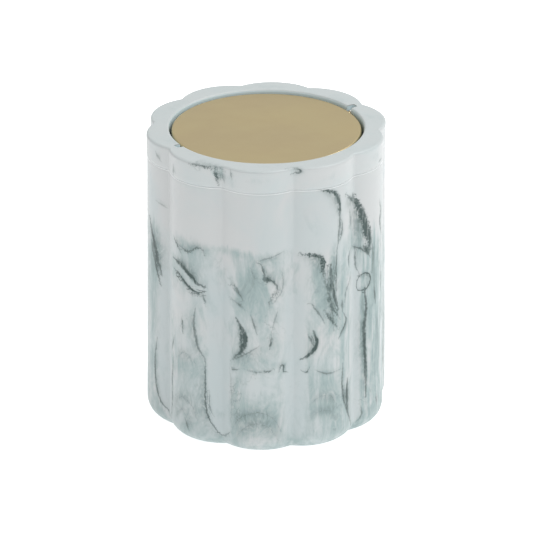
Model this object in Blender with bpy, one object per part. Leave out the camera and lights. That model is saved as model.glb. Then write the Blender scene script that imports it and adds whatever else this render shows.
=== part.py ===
"""Fluted cast-resin countertop jar with a lift-off collar and a self-levelling swing lid.

Metres, +Z up. The origin is on the surface that the jar stands on, under its centre, and
+X runs along the pivot pins of the lid.
"""

import math

import bmesh
import bpy
from mathutils import Matrix, Vector

MM = 0.001
GAP = 0.3 * MM  # between pieces that touch on the real object
AROUND = 80  # points round a turned or fluted wall, a whole number of them to each lobe
SMALL_AROUND = 24  # points round a pin, a bush or a foot
SCREW_AROUND = 16
CORNER_STEPS = 4  # facets round an upright corner
GROOVE_STEPS = 3
SAME_POINT = 0.001 * MM  # points nearer to each other than this are one
CREASE = math.radians(35)

# The whole jar
HEIGHT = 153.0 * MM
CREST_RADIUS = 60.0 * MM  # to the crests of the lobes, at the top of the jar body
VALLEY_RADIUS = 56.0 * MM  # to the sharp valleys between the lobes, before they are softened
LOBES = 10
VALLEY_SOFTNESS = 0.25 * MM
BASE_SPREAD = 0.02  # how much wider the foot of the jar is than its top
FOOT_STAND = 0.6 * MM  # the feet hold the resin this far off the table

# Jar body
BASE_EDGE = 10.0 * MM
SHOULDER_EDGE = 0.7 * MM
MOUTH_RADIUS = 52.6 * MM
FLOOR_THICKNESS = 9.0 * MM
FLOOR_FILLET = 1.6 * MM

# Feet
FOOT_COUNT = 4
FOOT_RADIUS = 7.0 * MM
FOOT_THICKNESS = 2.0 * MM
FOOT_CIRCLE = 36.0 * MM
FOOT_EDGE = 0.4 * MM

# Collar
COLLAR_HEIGHT = 11.7 * MM
COLLAR_PROUD = 0.3 * MM
COLLAR_TOP_EDGE = 1.3 * MM
COLLAR_LOW_EDGE = 0.3 * MM
OPENING_RADIUS = 48.4 * MM
OPENING_EDGE = 1.1 * MM
SPIGOT_RADIUS = 51.6 * MM
SPIGOT_DEPTH = 8.5 * MM
SPIGOT_EDGE = 0.6 * MM
SEAL_GROOVE_RADIUS = 50.5 * MM
SEAL_GROOVE_TOP = 2.6 * MM  # below the underside of the collar
SEAL_GROOVE_WIDTH = 3.0 * MM
SEAL_OUTER_RADIUS = 52.2 * MM

# Pivot of the lid: two pins in blind grooves, open at the top
PIVOT_DROP = 3.8 * MM  # from the top of the collar to the pivot axis
PIN_RADIUS = 1.25 * MM
PIN_INNER_END = 28.0 * MM
PIN_OUTER_END = 51.8 * MM
PIN_CHAMFER = 0.3 * MM
GROOVE_HALF_WIDTH = 2.0 * MM
GROOVE_END = 52.4 * MM
GROOVE_END_ROUND = 1.2 * MM
BUSH_RADIUS = 1.7 * MM
BUSH_BORE = 1.33 * MM
BUSH_INNER_END = 48.8 * MM
BUSH_LENGTH = 2.8 * MM

# Lid. Heights are measured from the pivot axis.
LID_TOP = 2.4 * MM
LID_RADIUS = 47.1 * MM
LID_SKIN = 0.8 * MM
LID_EDGE = 1.0 * MM
LID_INNER_EDGE = 0.4 * MM
LID_SKIRT = 5.0 * MM
PIN_NOTCH = PIN_RADIUS + GAP
CARRIER_RADIUS = LID_RADIUS - LID_SKIN - GAP
CARRIER_TOP = LID_TOP - LID_SKIN - GAP
CARRIER_SKIN = 1.2 * MM
CARRIER_RIM = 1.6 * MM
CARRIER_BOTTOM = -2.2 * MM
RAIL_OFFSET = 5.0 * MM
RAIL_WIDTH = 1.4 * MM
RAIL_END = 45.0 * MM
RAIL_BOTTOM = -1.8 * MM
PIN_SLOT_START = 27.0 * MM

# Clips that hold the pins up in the carrier
CLIP_CENTRE = 35.0 * MM
CLIP_LENGTH = 10.0 * MM
CLIP_HALF_WIDTH = 8.0 * MM
CLIP_PLATE = 1.2 * MM
CLIP_TONGUE = 1.6 * MM
CLIP_CORNER = 2.0 * MM
CLIP_BOSS_RADIUS = 2.4 * MM
CLIP_BOSS_BOTTOM = -2.6 * MM
CLIP_HOLE = 1.3 * MM
CLIP_SCREW_SHANK = 1.0 * MM
CLIP_SCREW_HEAD = 1.9 * MM
CLIP_SCREW_HEAD_HEIGHT = 1.3 * MM

# Counterweight
WEIGHT_LENGTH = 44.0 * MM
WEIGHT_WIDTH = 20.0 * MM
WEIGHT_HEIGHT = 7.0 * MM
WEIGHT_CORNER = 3.0 * MM
WEIGHT_EDGE = 0.6 * MM
WEIGHT_SCREW_OFFSET = 14.0 * MM
WEIGHT_BOSS_RADIUS = 3.0 * MM
WEIGHT_HOLE = 1.6 * MM
WEIGHT_COUNTERBORE = 2.7 * MM
WEIGHT_COUNTERBORE_DEPTH = 2.2 * MM
WEIGHT_SCREW_SHANK = 1.25 * MM
WEIGHT_SCREW_HEAD = 2.3 * MM
WEIGHT_SCREW_HEAD_HEIGHT = 1.5 * MM
HEAD_ROUNDING = 0.35  # of a pan head, as a share of its height
SCREW_POINT = 0.3  # radius of a screw's blunt tip, as a share of its shank's
SCREW_TIP = 0.4 * MM  # height of a screw's tip above the pivot axis
PILOT_END = 0.8 * MM  # height of the blind end of its pilot hole
RECESS_HALF_LENGTH = 0.55  # of the cross recess, as a share of the head's radius
RECESS_HALF_WIDTH = 0.14
RECESS_DEPTH = 0.5  # as a share of the head's height

BODY_BOTTOM = FOOT_STAND
SEAM = HEIGHT - COLLAR_HEIGHT
PIVOT_HEIGHT = HEIGHT - PIVOT_DROP
WEIGHT_TOP = RAIL_BOTTOM - GAP
CLIP_TOP = CLIP_BOSS_BOTTOM - GAP

LOBE_CENTRE = (CREST_RADIUS**2 - VALLEY_RADIUS**2) / (
    2 * (CREST_RADIUS - VALLEY_RADIUS * math.cos(math.pi / LOBES))
)
LOBE_RADIUS = CREST_RADIUS - LOBE_CENTRE


def clear_scene():
    for obj in list(bpy.data.objects):
        bpy.data.objects.remove(obj)


def finish(name, colour, roughness, metallic=0.0):
    material = bpy.data.materials.new(name)
    material.use_nodes = True
    shader = material.node_tree.nodes["Principled BSDF"]
    shader.inputs["Base Color"].default_value = (*colour, 1.0)
    shader.inputs["Roughness"].default_value = roughness
    shader.inputs["Metallic"].default_value = metallic
    return material


def piece(name, bm, material, parent=None, location=(0, 0, 0)):
    """The finished mesh as a named object, smooth except along its sharp edges."""
    bmesh.ops.recalc_face_normals(bm, faces=bm.faces)
    mesh = bpy.data.meshes.new(name)
    bm.to_mesh(mesh)
    bm.free()
    mesh.shade_smooth()
    mesh.set_sharp_from_angle(angle=CREASE)
    obj = bpy.data.objects.new(name, mesh)
    bpy.context.scene.collection.objects.link(obj)
    obj.location = location
    obj.parent = parent
    if material:
        mesh.materials.append(material)
    return obj


def helper(name, bm, parent=None):
    """A cutter or an added shape, which is no piece of the jar itself."""
    obj = piece(name, bm, None, parent)
    obj.hide_render = True
    obj.display_type = "WIRE"
    return obj


def boolean(target, operation, other):
    modifier = target.modifiers.new(other.name, "BOOLEAN")
    modifier.operation = operation
    modifier.solver = "EXACT"
    modifier.object = other


# Walls round the Z axis. A wall is a function of the angle and the height.


def lobe(angle):
    """Distance from the axis to one lobe's arc, at this angle from its crest."""
    across = LOBE_CENTRE * math.sin(angle)
    return LOBE_CENTRE * math.cos(angle) + math.sqrt(LOBE_RADIUS**2 - across**2)


def outline(angle):
    """Distance from the axis to the fluted outside, with the valleys softened."""
    pitch = math.tau / LOBES
    from_crest = abs(angle % pitch - pitch / 2)
    near = lobe(from_crest)
    beside = lobe(pitch - from_crest)
    return near + VALLEY_SOFTNESS * math.log1p(math.exp((beside - near) / VALLEY_SOFTNESS))


def fluted(inset):
    def wall(angle, height):
        spread = 1 + BASE_SPREAD * (SEAM - height) / SEAM
        return outline(angle) * spread - inset

    return wall


def collar_wall(inset):
    def wall(angle, _height):
        return outline(angle) + COLLAR_PROUD - inset

    return wall


def turned(radius):
    def wall(_angle, _height):
        return radius

    return wall


def rounded(wall, edge, height, rising, steps, outward=True):
    """Sections round a quarter circle of radius `edge`, from an end face onto a wall.

    `height` is the height of the face. `rising` says that the wall is above it.
    """
    sections = []
    for step in range(steps + 1):
        turn = step / steps * math.pi / 2
        back = edge * (1 - math.sin(turn))
        along = edge * (1 - math.cos(turn))
        inset = back if outward else -back
        sections.append((wall(inset), height + along if rising else height - along))
    return sections


def round_wall(radius):
    """The same choice of inset for a round wall as `fluted` gives for a fluted one."""
    return lambda inset: turned(radius - inset)


def loft(sections, around=AROUND, closed=False):
    """One body through the sections, each a wall and a height, grown ring by ring."""
    bm = bmesh.new()
    ring = bmesh.ops.create_circle(bm, cap_ends=not closed, segments=around, radius=1.0)["verts"]
    edges = [e for e in bm.edges if all(v in ring for v in e.verts)]
    place(ring, sections[0])
    for section in [*sections[1:], sections[0]] if closed else sections[1:]:
        grown = bmesh.ops.extrude_edge_only(bm, edges=edges)["geom"]
        ring = [item for item in grown if isinstance(item, bmesh.types.BMVert)]
        edges = [item for item in grown if isinstance(item, bmesh.types.BMEdge)]
        place(ring, section)
    if closed:
        bmesh.ops.remove_doubles(bm, verts=bm.verts, dist=SAME_POINT)
    else:
        bmesh.ops.contextual_create(bm, geom=edges)
    return bm


def place(ring, section):
    wall, height = section
    for vert in ring:
        angle = math.atan2(vert.co.y, vert.co.x)
        radius = wall(angle, height)
        vert.co = (radius * math.cos(angle), radius * math.sin(angle), height)


def rod(radius, low, high, around, chamfer=0.0):
    """A capped cylinder along Z, with its end edges chamfered."""
    if not chamfer:
        return loft([(turned(radius), low), (turned(radius), high)], around)
    inner = turned(radius - chamfer)
    outer = turned(radius)
    return loft([(inner, low), (outer, low + chamfer), (outer, high - chamfer), (inner, high)], around)


def rods(centres, radius, low, high, around=SMALL_AROUND):
    """Separate cylinders along Z at each (x, y), as one helper mesh."""
    bm = bmesh.new()
    depth = high - low
    for x, y in centres:
        made = bmesh.ops.create_cone(
            bm, cap_ends=True, segments=around, radius1=radius, radius2=radius, depth=depth
        )
        bmesh.ops.translate(bm, verts=made["verts"], vec=(x, y, low + depth / 2))
    return bm


def box(low, high):
    bm = bmesh.new()
    low, high = Vector(low), Vector(high)
    size = Matrix.Diagonal((*(high - low), 1.0))
    bmesh.ops.create_cube(bm, size=1.0, matrix=Matrix.Translation((low + high) / 2) @ size)
    return bm


def upright_edges(bm, reach=0.0):
    """The edges that run along Z, more than `reach` from the XZ plane."""
    found = []
    for edge in bm.edges:
        run = edge.verts[1].co - edge.verts[0].co
        if abs(run.z) > 0.9 * run.length and abs(edge.verts[0].co.y) > reach:
            found.append(edge)
    return found


def bevel(bm, edges, width, segments):
    bmesh.ops.bevel(
        bm, geom=edges, offset=width, segments=segments, profile=0.5, affect="EDGES", material=-1
    )


def trough(half_width, start, end, open_to, steps=12):
    """A slot along X round the X axis, half round on one side and straight out to `open_to` in Z."""
    bm = bmesh.new()
    side = -1 if open_to > 0 else 1
    outline_points = [(half_width, open_to)]
    for step in range(steps + 1):
        turn = math.pi * step / steps
        outline_points.append((half_width * math.cos(turn), side * half_width * math.sin(turn)))
    outline_points.append((-half_width, open_to))
    face = bm.faces.new([bm.verts.new((start, y, z)) for y, z in outline_points])
    grown = bmesh.ops.extrude_face_region(bm, geom=[face])["geom"]
    verts = [item for item in grown if isinstance(item, bmesh.types.BMVert)]
    bmesh.ops.translate(bm, verts=verts, vec=(end - start, 0, 0))
    return bm


def both_ways(bm):
    """Adds the mesh turned half way round the Z axis."""
    copy = bmesh.ops.duplicate(bm, geom=bm.verts[:] + bm.edges[:] + bm.faces[:])["geom"]
    verts = [item for item in copy if isinstance(item, bmesh.types.BMVert)]
    bmesh.ops.rotate(bm, verts=verts, cent=(0, 0, 0), matrix=Matrix.Rotation(math.pi, 3, "Z"))
    return bm


# The pieces


def jar_body(resin):
    inner_floor = BODY_BOTTOM + FLOOR_THICKNESS
    sections = rounded(fluted, BASE_EDGE, BODY_BOTTOM, rising=True, steps=6)
    sections += reversed(rounded(fluted, SHOULDER_EDGE, SEAM, rising=False, steps=2))
    mouth = round_wall(MOUTH_RADIUS)
    sections += rounded(mouth, SHOULDER_EDGE, SEAM, rising=False, steps=2, outward=False)
    for step in range(5):
        turn = step / 4 * math.pi / 2
        radius = MOUTH_RADIUS - FLOOR_FILLET * (1 - math.cos(turn))
        sections.append((turned(radius), inner_floor + FLOOR_FILLET * (1 - math.sin(turn))))
    body = piece("jar_body", loft(sections), resin)
    recess_top = FOOT_THICKNESS + GAP
    pockets = rods(foot_places(), FOOT_RADIUS + GAP, -FOOT_STAND, recess_top)
    boolean(body, "DIFFERENCE", helper("foot_pockets", pockets))
    return body


def foot_places():
    turns = [math.tau * (index + 0.5) / FOOT_COUNT for index in range(FOOT_COUNT)]
    return [(FOOT_CIRCLE * math.cos(turn), FOOT_CIRCLE * math.sin(turn)) for turn in turns]


def feet(silicone):
    for index, (x, y) in enumerate(foot_places(), start=1):
        pad = rod(FOOT_RADIUS, 0, FOOT_THICKNESS, SMALL_AROUND, FOOT_EDGE)
        piece(f"foot_pad_{index}", pad, silicone, location=(x, y, 0))


def collar_ring(resin, parent):
    """In the collar's own frame, whose origin is at the seam."""
    groove_top = -SEAL_GROOVE_TOP
    groove_low = groove_top - SEAL_GROOVE_WIDTH
    opening = round_wall(OPENING_RADIUS)
    sections = rounded(collar_wall, COLLAR_LOW_EDGE, GAP, rising=True, steps=1)
    sections += reversed(rounded(collar_wall, COLLAR_TOP_EDGE, COLLAR_HEIGHT, rising=False, steps=4))
    sections += rounded(opening, OPENING_EDGE, COLLAR_HEIGHT, rising=False, steps=3, outward=False)
    sections += [
        (turned(OPENING_RADIUS), -SPIGOT_DEPTH),
        (turned(SPIGOT_RADIUS - SPIGOT_EDGE), -SPIGOT_DEPTH),
        (turned(SPIGOT_RADIUS), -SPIGOT_DEPTH + SPIGOT_EDGE),
        (turned(SPIGOT_RADIUS), groove_low),
        (turned(SEAL_GROOVE_RADIUS), groove_low),
        (turned(SEAL_GROOVE_RADIUS), groove_top),
        (turned(SPIGOT_RADIUS), groove_top),
        (turned(SPIGOT_RADIUS), GAP),
    ]
    ring = piece("collar_ring", loft(sections, closed=True), resin, parent)
    open_to = 2 * PIVOT_DROP
    cutter = trough(GROOVE_HALF_WIDTH, OPENING_RADIUS - 2 * GROOVE_HALF_WIDTH, GROOVE_END, open_to)
    blind_end = [
        edge
        for edge in cutter.edges
        if all(vert.co.x > OPENING_RADIUS for vert in edge.verts)
        and any(vert.co.z < open_to for vert in edge.verts)
    ]
    bevel(cutter, blind_end, GROOVE_END_ROUND, GROOVE_STEPS)
    bmesh.ops.translate(cutter, verts=cutter.verts, vec=(0, 0, COLLAR_HEIGHT - PIVOT_DROP))
    boolean(ring, "DIFFERENCE", helper("pivot_grooves", both_ways(cutter), parent))
    return ring


def collar_seal(silicone, parent):
    inner = turned(SEAL_GROOVE_RADIUS + GAP)
    outer = turned(SEAL_OUTER_RADIUS)
    edge = turned(SEAL_OUTER_RADIUS - FOOT_EDGE)
    high = -SEAL_GROOVE_TOP - GAP
    low = -SEAL_GROOVE_TOP - SEAL_GROOVE_WIDTH + GAP
    sections = [(inner, high), (inner, low), (edge, low), (outer, low + FOOT_EDGE)]
    sections += [(outer, high - FOOT_EDGE), (edge, high)]
    return piece("collar_seal", loft(sections, closed=True), silicone, parent)


def pivot_bush(side, nylon, parent):
    bore, outer = turned(BUSH_BORE), turned(BUSH_RADIUS)
    sections = [(bore, 0), (outer, 0), (outer, BUSH_LENGTH), (bore, BUSH_LENGTH)]
    sleeve = loft(sections, SMALL_AROUND, closed=True)
    lay_along_x(sleeve, side, BUSH_INNER_END)
    return piece(f"pivot_bush_{side}", sleeve, nylon, parent)


def lay_along_x(bm, side, start):
    """Turns a piece built up the Z axis so that it runs outward from `start` on this side."""
    sign = 1 if side == "right" else -1
    bmesh.ops.rotate(bm, verts=bm.verts, matrix=Matrix.Rotation(sign * math.pi / 2, 3, "Y"))
    bmesh.ops.translate(bm, verts=bm.verts, vec=(sign * start, 0, 0))


def pivot_pin(side, steel, parent):
    pin = rod(PIN_RADIUS, 0, PIN_OUTER_END - PIN_INNER_END, SMALL_AROUND, PIN_CHAMFER)
    lay_along_x(pin, side, PIN_INNER_END)
    return piece(f"pivot_pin_{side}", pin, steel, parent)


def lid_plate(gold, parent):
    """The visible skin: a shallow drawn cap with a turned-down skirt, notched for the pins."""
    skirt_bottom = LID_TOP - LID_SKIRT
    outside = round_wall(LID_RADIUS)
    inside = round_wall(LID_RADIUS - LID_SKIN)
    sections = rounded(outside, LID_EDGE, LID_TOP, rising=False, steps=4)
    sections += [(outside(0), skirt_bottom), (inside(0), skirt_bottom)]
    sections += reversed(rounded(inside, LID_INNER_EDGE, LID_TOP - LID_SKIN, rising=False, steps=2))
    plate = piece("lid_plate", loft(sections), gold, parent)
    notch = trough(PIN_NOTCH, LID_RADIUS - 3 * LID_SKIN, LID_RADIUS + LID_SKIN, open_to=-LID_SKIRT)
    boolean(plate, "DIFFERENCE", helper("pin_notches", both_ways(notch), parent))
    return plate


def lid_carrier(moulding, parent):
    """The moulded underplate, with the bosses, rails and slots that take the pivot pins."""
    skin_low = CARRIER_TOP - CARRIER_SKIN
    rim_inside = turned(CARRIER_RADIUS - CARRIER_RIM)
    sections = [
        (turned(CARRIER_RADIUS), CARRIER_TOP),
        (turned(CARRIER_RADIUS), CARRIER_BOTTOM),
        (rim_inside, CARRIER_BOTTOM),
        (rim_inside, skin_low),
    ]
    carrier = piece("lid_carrier", loft(sections), moulding, parent)
    overlap = CARRIER_SKIN / 2
    root = skin_low + overlap

    rails = bmesh.new()
    for y in (-RAIL_OFFSET, RAIL_OFFSET):
        span = Vector((2 * RAIL_END, RAIL_WIDTH, root - RAIL_BOTTOM))
        middle = Vector((0, y, (root + RAIL_BOTTOM) / 2))
        matrix = Matrix.Translation(middle) @ Matrix.Diagonal((*span, 1.0))
        bmesh.ops.create_cube(rails, size=1.0, matrix=matrix)
    boolean(carrier, "UNION", helper("carrier_rails", rails, parent))

    clip_bosses = rods(clip_screw_places(), CLIP_BOSS_RADIUS, CLIP_BOSS_BOTTOM, root)
    boolean(carrier, "UNION", helper("clip_bosses", clip_bosses, parent))
    weight_bosses = rods(weight_screw_places(), WEIGHT_BOSS_RADIUS, RAIL_BOTTOM, root)
    boolean(carrier, "UNION", helper("weight_bosses", weight_bosses, parent))

    slot = box(
        (PIN_SLOT_START, -PIN_NOTCH, CLIP_BOSS_BOTTOM - GAP),
        (LID_RADIUS, PIN_NOTCH, LID_TOP),
    )
    boolean(carrier, "DIFFERENCE", helper("pin_slots", both_ways(slot), parent))
    pilots = rods(clip_screw_places(), CLIP_HOLE, 2 * CLIP_BOSS_BOTTOM, PILOT_END, SCREW_AROUND)
    boolean(carrier, "DIFFERENCE", helper("clip_pilots", pilots, parent))
    pilots = rods(weight_screw_places(), WEIGHT_HOLE, 2 * RAIL_BOTTOM, PILOT_END, SCREW_AROUND)
    boolean(carrier, "DIFFERENCE", helper("weight_pilots", pilots, parent))
    return carrier


def clip_screw_places():
    return [(x, y) for x in (-CLIP_CENTRE, CLIP_CENTRE) for y in (-RAIL_OFFSET, RAIL_OFFSET)]


def weight_screw_places():
    return [(-WEIGHT_SCREW_OFFSET, 0), (WEIGHT_SCREW_OFFSET, 0)]


def pin_clip(side, moulding, parent):
    """A saddle under one pin: a flat plate with a tongue that reaches up between its screws."""
    centre = CLIP_CENTRE if side == "right" else -CLIP_CENTRE
    tongue_top = -PIN_RADIUS - GAP
    low = CLIP_TOP - CLIP_PLATE
    profile = [
        (-CLIP_HALF_WIDTH, low),
        (CLIP_HALF_WIDTH, low),
        (CLIP_HALF_WIDTH, CLIP_TOP),
        (CLIP_TONGUE, CLIP_TOP),
        (CLIP_TONGUE, tongue_top),
        (-CLIP_TONGUE, tongue_top),
        (-CLIP_TONGUE, CLIP_TOP),
        (-CLIP_HALF_WIDTH, CLIP_TOP),
    ]
    bm = bmesh.new()
    start = centre - CLIP_LENGTH / 2
    face = bm.faces.new([bm.verts.new((start, y, z)) for y, z in profile])
    grown = bmesh.ops.extrude_face_region(bm, geom=[face])["geom"]
    verts = [item for item in grown if isinstance(item, bmesh.types.BMVert)]
    bmesh.ops.translate(bm, verts=verts, vec=(CLIP_LENGTH, 0, 0))
    bevel(bm, upright_edges(bm, reach=2 * CLIP_TONGUE), CLIP_CORNER, CORNER_STEPS)
    clip = piece(f"pin_clip_{side}", bm, moulding, parent)
    holes = [(centre, -RAIL_OFFSET), (centre, RAIL_OFFSET)]
    cutter = rods(holes, CLIP_HOLE, low - CLIP_PLATE, CLIP_TOP + CLIP_PLATE, SCREW_AROUND)
    boolean(clip, "DIFFERENCE", helper(f"clip_holes_{side}", cutter, parent))
    return clip


def counterweight(steel, parent):
    half_length, half_width = WEIGHT_LENGTH / 2, WEIGHT_WIDTH / 2
    low = WEIGHT_TOP - WEIGHT_HEIGHT
    bm = box((-half_length, -half_width, low), (half_length, half_width, WEIGHT_TOP))
    bevel(bm, upright_edges(bm), WEIGHT_CORNER, CORNER_STEPS)
    ends = [edge for edge in bm.edges if abs(edge.verts[0].co.z - edge.verts[1].co.z) < SAME_POINT]
    bevel(bm, ends, WEIGHT_EDGE, 1)
    block = piece("counterweight", bm, steel, parent)
    holes = rods(weight_screw_places(), WEIGHT_HOLE, 2 * low, 0, SCREW_AROUND)
    boolean(block, "DIFFERENCE", helper("weight_holes", holes, parent))
    seat = low + WEIGHT_COUNTERBORE_DEPTH
    seats = rods(weight_screw_places(), WEIGHT_COUNTERBORE, 2 * low, seat, SCREW_AROUND)
    boolean(block, "DIFFERENCE", helper("weight_counterbores", seats, parent))
    return block


def screw(name, place_xy, seat, shank, head, head_height, steel, parent):
    """A pan-head screw that points up, its head under `seat`, with a cross recess."""
    low = seat - head_height
    rounding = head_height * HEAD_ROUNDING
    sections = [
        (turned(head - rounding), low),
        (turned(head), low + rounding),
        (turned(head), seat),
        (turned(shank), seat),
        (turned(shank), SCREW_TIP - shank),
        (turned(shank * SCREW_POINT), SCREW_TIP),
    ]
    obj = piece(name, loft(sections, SCREW_AROUND), steel, parent, (*place_xy, 0))
    reach, width = head * RECESS_HALF_LENGTH, head * RECESS_HALF_WIDTH
    top = low + head_height * RECESS_DEPTH
    for turn, (x, y) in (("long", (reach, width)), ("cross", (width, reach))):
        cutter = box((-x, -y, low - head_height), (x, y, top))
        recess = helper(f"{name}_recess_{turn}", cutter, parent)
        recess.location = (*place_xy, 0)
        boolean(obj, "DIFFERENCE", recess)
    return obj


def lid_screws(steel, parent):
    seat = CLIP_TOP - CLIP_PLATE - GAP
    for x, y in clip_screw_places():
        name = f"clip_screw_{'left' if x < 0 else 'right'}_{'front' if y < 0 else 'back'}"
        sizes = (CLIP_SCREW_SHANK, CLIP_SCREW_HEAD, CLIP_SCREW_HEAD_HEIGHT)
        screw(name, (x, y), seat, *sizes, steel, parent)
    seat = WEIGHT_TOP - WEIGHT_HEIGHT + WEIGHT_COUNTERBORE_DEPTH - GAP
    for x, y in weight_screw_places():
        name = f"weight_screw_{'left' if x < 0 else 'right'}"
        sizes = (WEIGHT_SCREW_SHANK, WEIGHT_SCREW_HEAD, WEIGHT_SCREW_HEAD_HEIGHT)
        screw(name, (x, y), seat, *sizes, steel, parent)


def frame(name, height, parent=None):
    """An empty on a joint's axis. `height` is above its parent."""
    empty = bpy.data.objects.new(name, None)
    bpy.context.scene.collection.objects.link(empty)
    empty.location = (0, 0, height)
    empty.parent = parent
    return empty


def main():
    clear_scene()
    resin = finish("marbled_resin", (0.56, 0.61, 0.61), 0.35)
    silicone = finish("clear_silicone", (0.75, 0.76, 0.76), 0.5)
    gold = finish("satin_gold", (0.46, 0.36, 0.21), 0.38, 1.0)
    moulding = finish("moulded_plastic", (0.06, 0.06, 0.065), 0.5)
    nylon = finish("natural_nylon", (0.72, 0.71, 0.66), 0.45)
    pin_steel = finish("gold_pin_steel", (0.5, 0.4, 0.25), 0.3, 1.0)
    steel = finish("zinc_steel", (0.5, 0.51, 0.53), 0.4, 1.0)

    collar_frame = frame("collar_frame", SEAM)
    lid_frame = frame("lid_frame", PIVOT_HEIGHT - SEAM, collar_frame)

    jar_body(resin)
    feet(silicone)
    collar_ring(resin, collar_frame)
    collar_seal(silicone, collar_frame)
    for side in ("left", "right"):
        pivot_bush(side, nylon, lid_frame)
        pivot_pin(side, pin_steel, lid_frame)
        pin_clip(side, moulding, lid_frame)
    lid_plate(gold, lid_frame)
    lid_carrier(moulding, lid_frame)
    counterweight(steel, lid_frame)
    lid_screws(steel, lid_frame)


main()
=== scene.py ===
import math
import random
from collections import namedtuple

import bmesh
import bpy
import numpy as np
from mathutils import Matrix, Vector

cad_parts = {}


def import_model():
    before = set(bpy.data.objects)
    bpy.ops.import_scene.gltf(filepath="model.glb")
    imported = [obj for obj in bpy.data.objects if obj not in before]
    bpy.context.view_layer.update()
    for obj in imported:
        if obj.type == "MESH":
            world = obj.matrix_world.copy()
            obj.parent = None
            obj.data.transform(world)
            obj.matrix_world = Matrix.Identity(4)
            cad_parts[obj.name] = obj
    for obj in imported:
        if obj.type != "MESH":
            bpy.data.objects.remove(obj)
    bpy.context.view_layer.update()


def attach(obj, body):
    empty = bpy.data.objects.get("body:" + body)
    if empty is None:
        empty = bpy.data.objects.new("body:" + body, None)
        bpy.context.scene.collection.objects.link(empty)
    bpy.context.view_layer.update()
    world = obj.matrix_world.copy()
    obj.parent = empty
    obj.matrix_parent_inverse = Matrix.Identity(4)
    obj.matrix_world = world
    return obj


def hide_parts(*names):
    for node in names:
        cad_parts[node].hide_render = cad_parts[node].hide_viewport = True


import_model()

MM = 0.001
GAP = 0.3 * MM  # between pieces that touch on the real object
SEAM_GAP = 0.15 * MM  # under the collar, which rests on the jar
AROUND = 640  # points round the fluted walls, a whole number of them to each lobe
ROUND = 256  # points round a turned piece
PIN_ROUND = 48  # points round a pin, a sleeve or a boss
SCREW_ROUND = 32  # points round a screw or its hole
FOOT_ROUND = 64
MERGE_DISTANCE = 0.001 * MM
CREASE = math.radians(35.0)  # edges that turn more than this are shown sharp
BEVEL_CREASE = math.radians(40.0)  # edges that turn more than this are rounded by soften

# The whole jar
HEIGHT = 153.0 * MM
CREST_RADIUS = 60.0 * MM
VALLEY_RADIUS = 56.0 * MM
LOBES = 10
VALLEY_SOFTNESS = 0.25 * MM
BASE_SPREAD = 0.02
FOOT_STAND = 0.6 * MM

# Jar body
BASE_EDGE = 10.0 * MM
SHOULDER_EDGE = 0.7 * MM
MOUTH_RADIUS = 52.6 * MM
FLOOR_THICKNESS = 9.0 * MM
FLOOR_FILLET = 1.6 * MM
BASE_STEPS = 14  # round the edge of the base
SHOULDER_STEPS = 4
WALL_ROWS = 104
MOUTH_ROWS = 4
FILLET_STEPS = 7

# Feet
FOOT_COUNT = 4
FOOT_RADIUS = 7.0 * MM
FOOT_THICKNESS = 2.0 * MM
FOOT_CIRCLE = 36.0 * MM
FOOT_EDGE = 0.4 * MM

# Collar
COLLAR_HEIGHT = 11.7 * MM
COLLAR_PROUD = 0.3 * MM
COLLAR_TOP_EDGE = 1.3 * MM
COLLAR_LOW_EDGE = 0.3 * MM
OPENING_RADIUS = 48.4 * MM
OPENING_EDGE = 1.1 * MM
SPIGOT_RADIUS = 51.6 * MM
SPIGOT_DEPTH = 8.5 * MM
SPIGOT_EDGE = 0.6 * MM
SEAL_GROOVE_RADIUS = 50.5 * MM
SEAL_GROOVE_TOP = 2.6 * MM
SEAL_GROOVE_WIDTH = 3.0 * MM
SEAL_OUTER_RADIUS = 52.2 * MM
SEAL_LIP = 0.8 * MM  # how far the hollow between the lips goes in
SEAL_STEPS = 16
COLLAR_ROWS = 9
LAND_RINGS = (0.35, 0.7)  # shares of the way in over the flat top
OPENING_ROW = 3.0 * MM
OPENING_ROWS = 5

# Pivot of the lid
PIVOT_DROP = 3.8 * MM
PIN_RADIUS = 1.25 * MM
PIN_INNER_END = 28.0 * MM
PIN_OUTER_END = 51.8 * MM
PIN_END_EDGE = 0.3 * MM
GROOVE_HALF_WIDTH = 2.0 * MM
GROOVE_END = 52.4 * MM
GROOVE_END_ROUND = 1.2 * MM
BUSH_RADIUS = 1.7 * MM
BUSH_BORE = 1.33 * MM
BUSH_INNER_END = 48.8 * MM
BUSH_LENGTH = 2.8 * MM
BUSH_EDGE = 0.15 * MM
BUSH_STEPS = 3
ROD_STEPS = 5
GROOVE_END_STEPS = 6
TROUGH_STEPS = 32

# Lid, with heights from the pivot axis
LID_TOP = 2.4 * MM
LID_RADIUS = 47.1 * MM
LID_SKIN = 0.8 * MM
LID_EDGE = 1.0 * MM
LID_INNER_EDGE = 0.4 * MM
LID_SKIRT = 5.0 * MM
SKIRT_EDGE = 0.2 * MM
PIN_NOTCH = PIN_RADIUS + GAP
CARRIER_RADIUS = LID_RADIUS - LID_SKIN - GAP
CARRIER_TOP = LID_TOP - LID_SKIN - GAP
CARRIER_SKIN = 1.2 * MM
CARRIER_RIM = 1.6 * MM
CARRIER_BOTTOM = -2.2 * MM
CARRIER_EDGE = 0.3 * MM
RAIL_OFFSET = 5.0 * MM
RAIL_WIDTH = 1.4 * MM
RAIL_END = 45.0 * MM
RAIL_BOTTOM = -1.8 * MM
PIN_SLOT_START = 27.0 * MM

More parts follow.
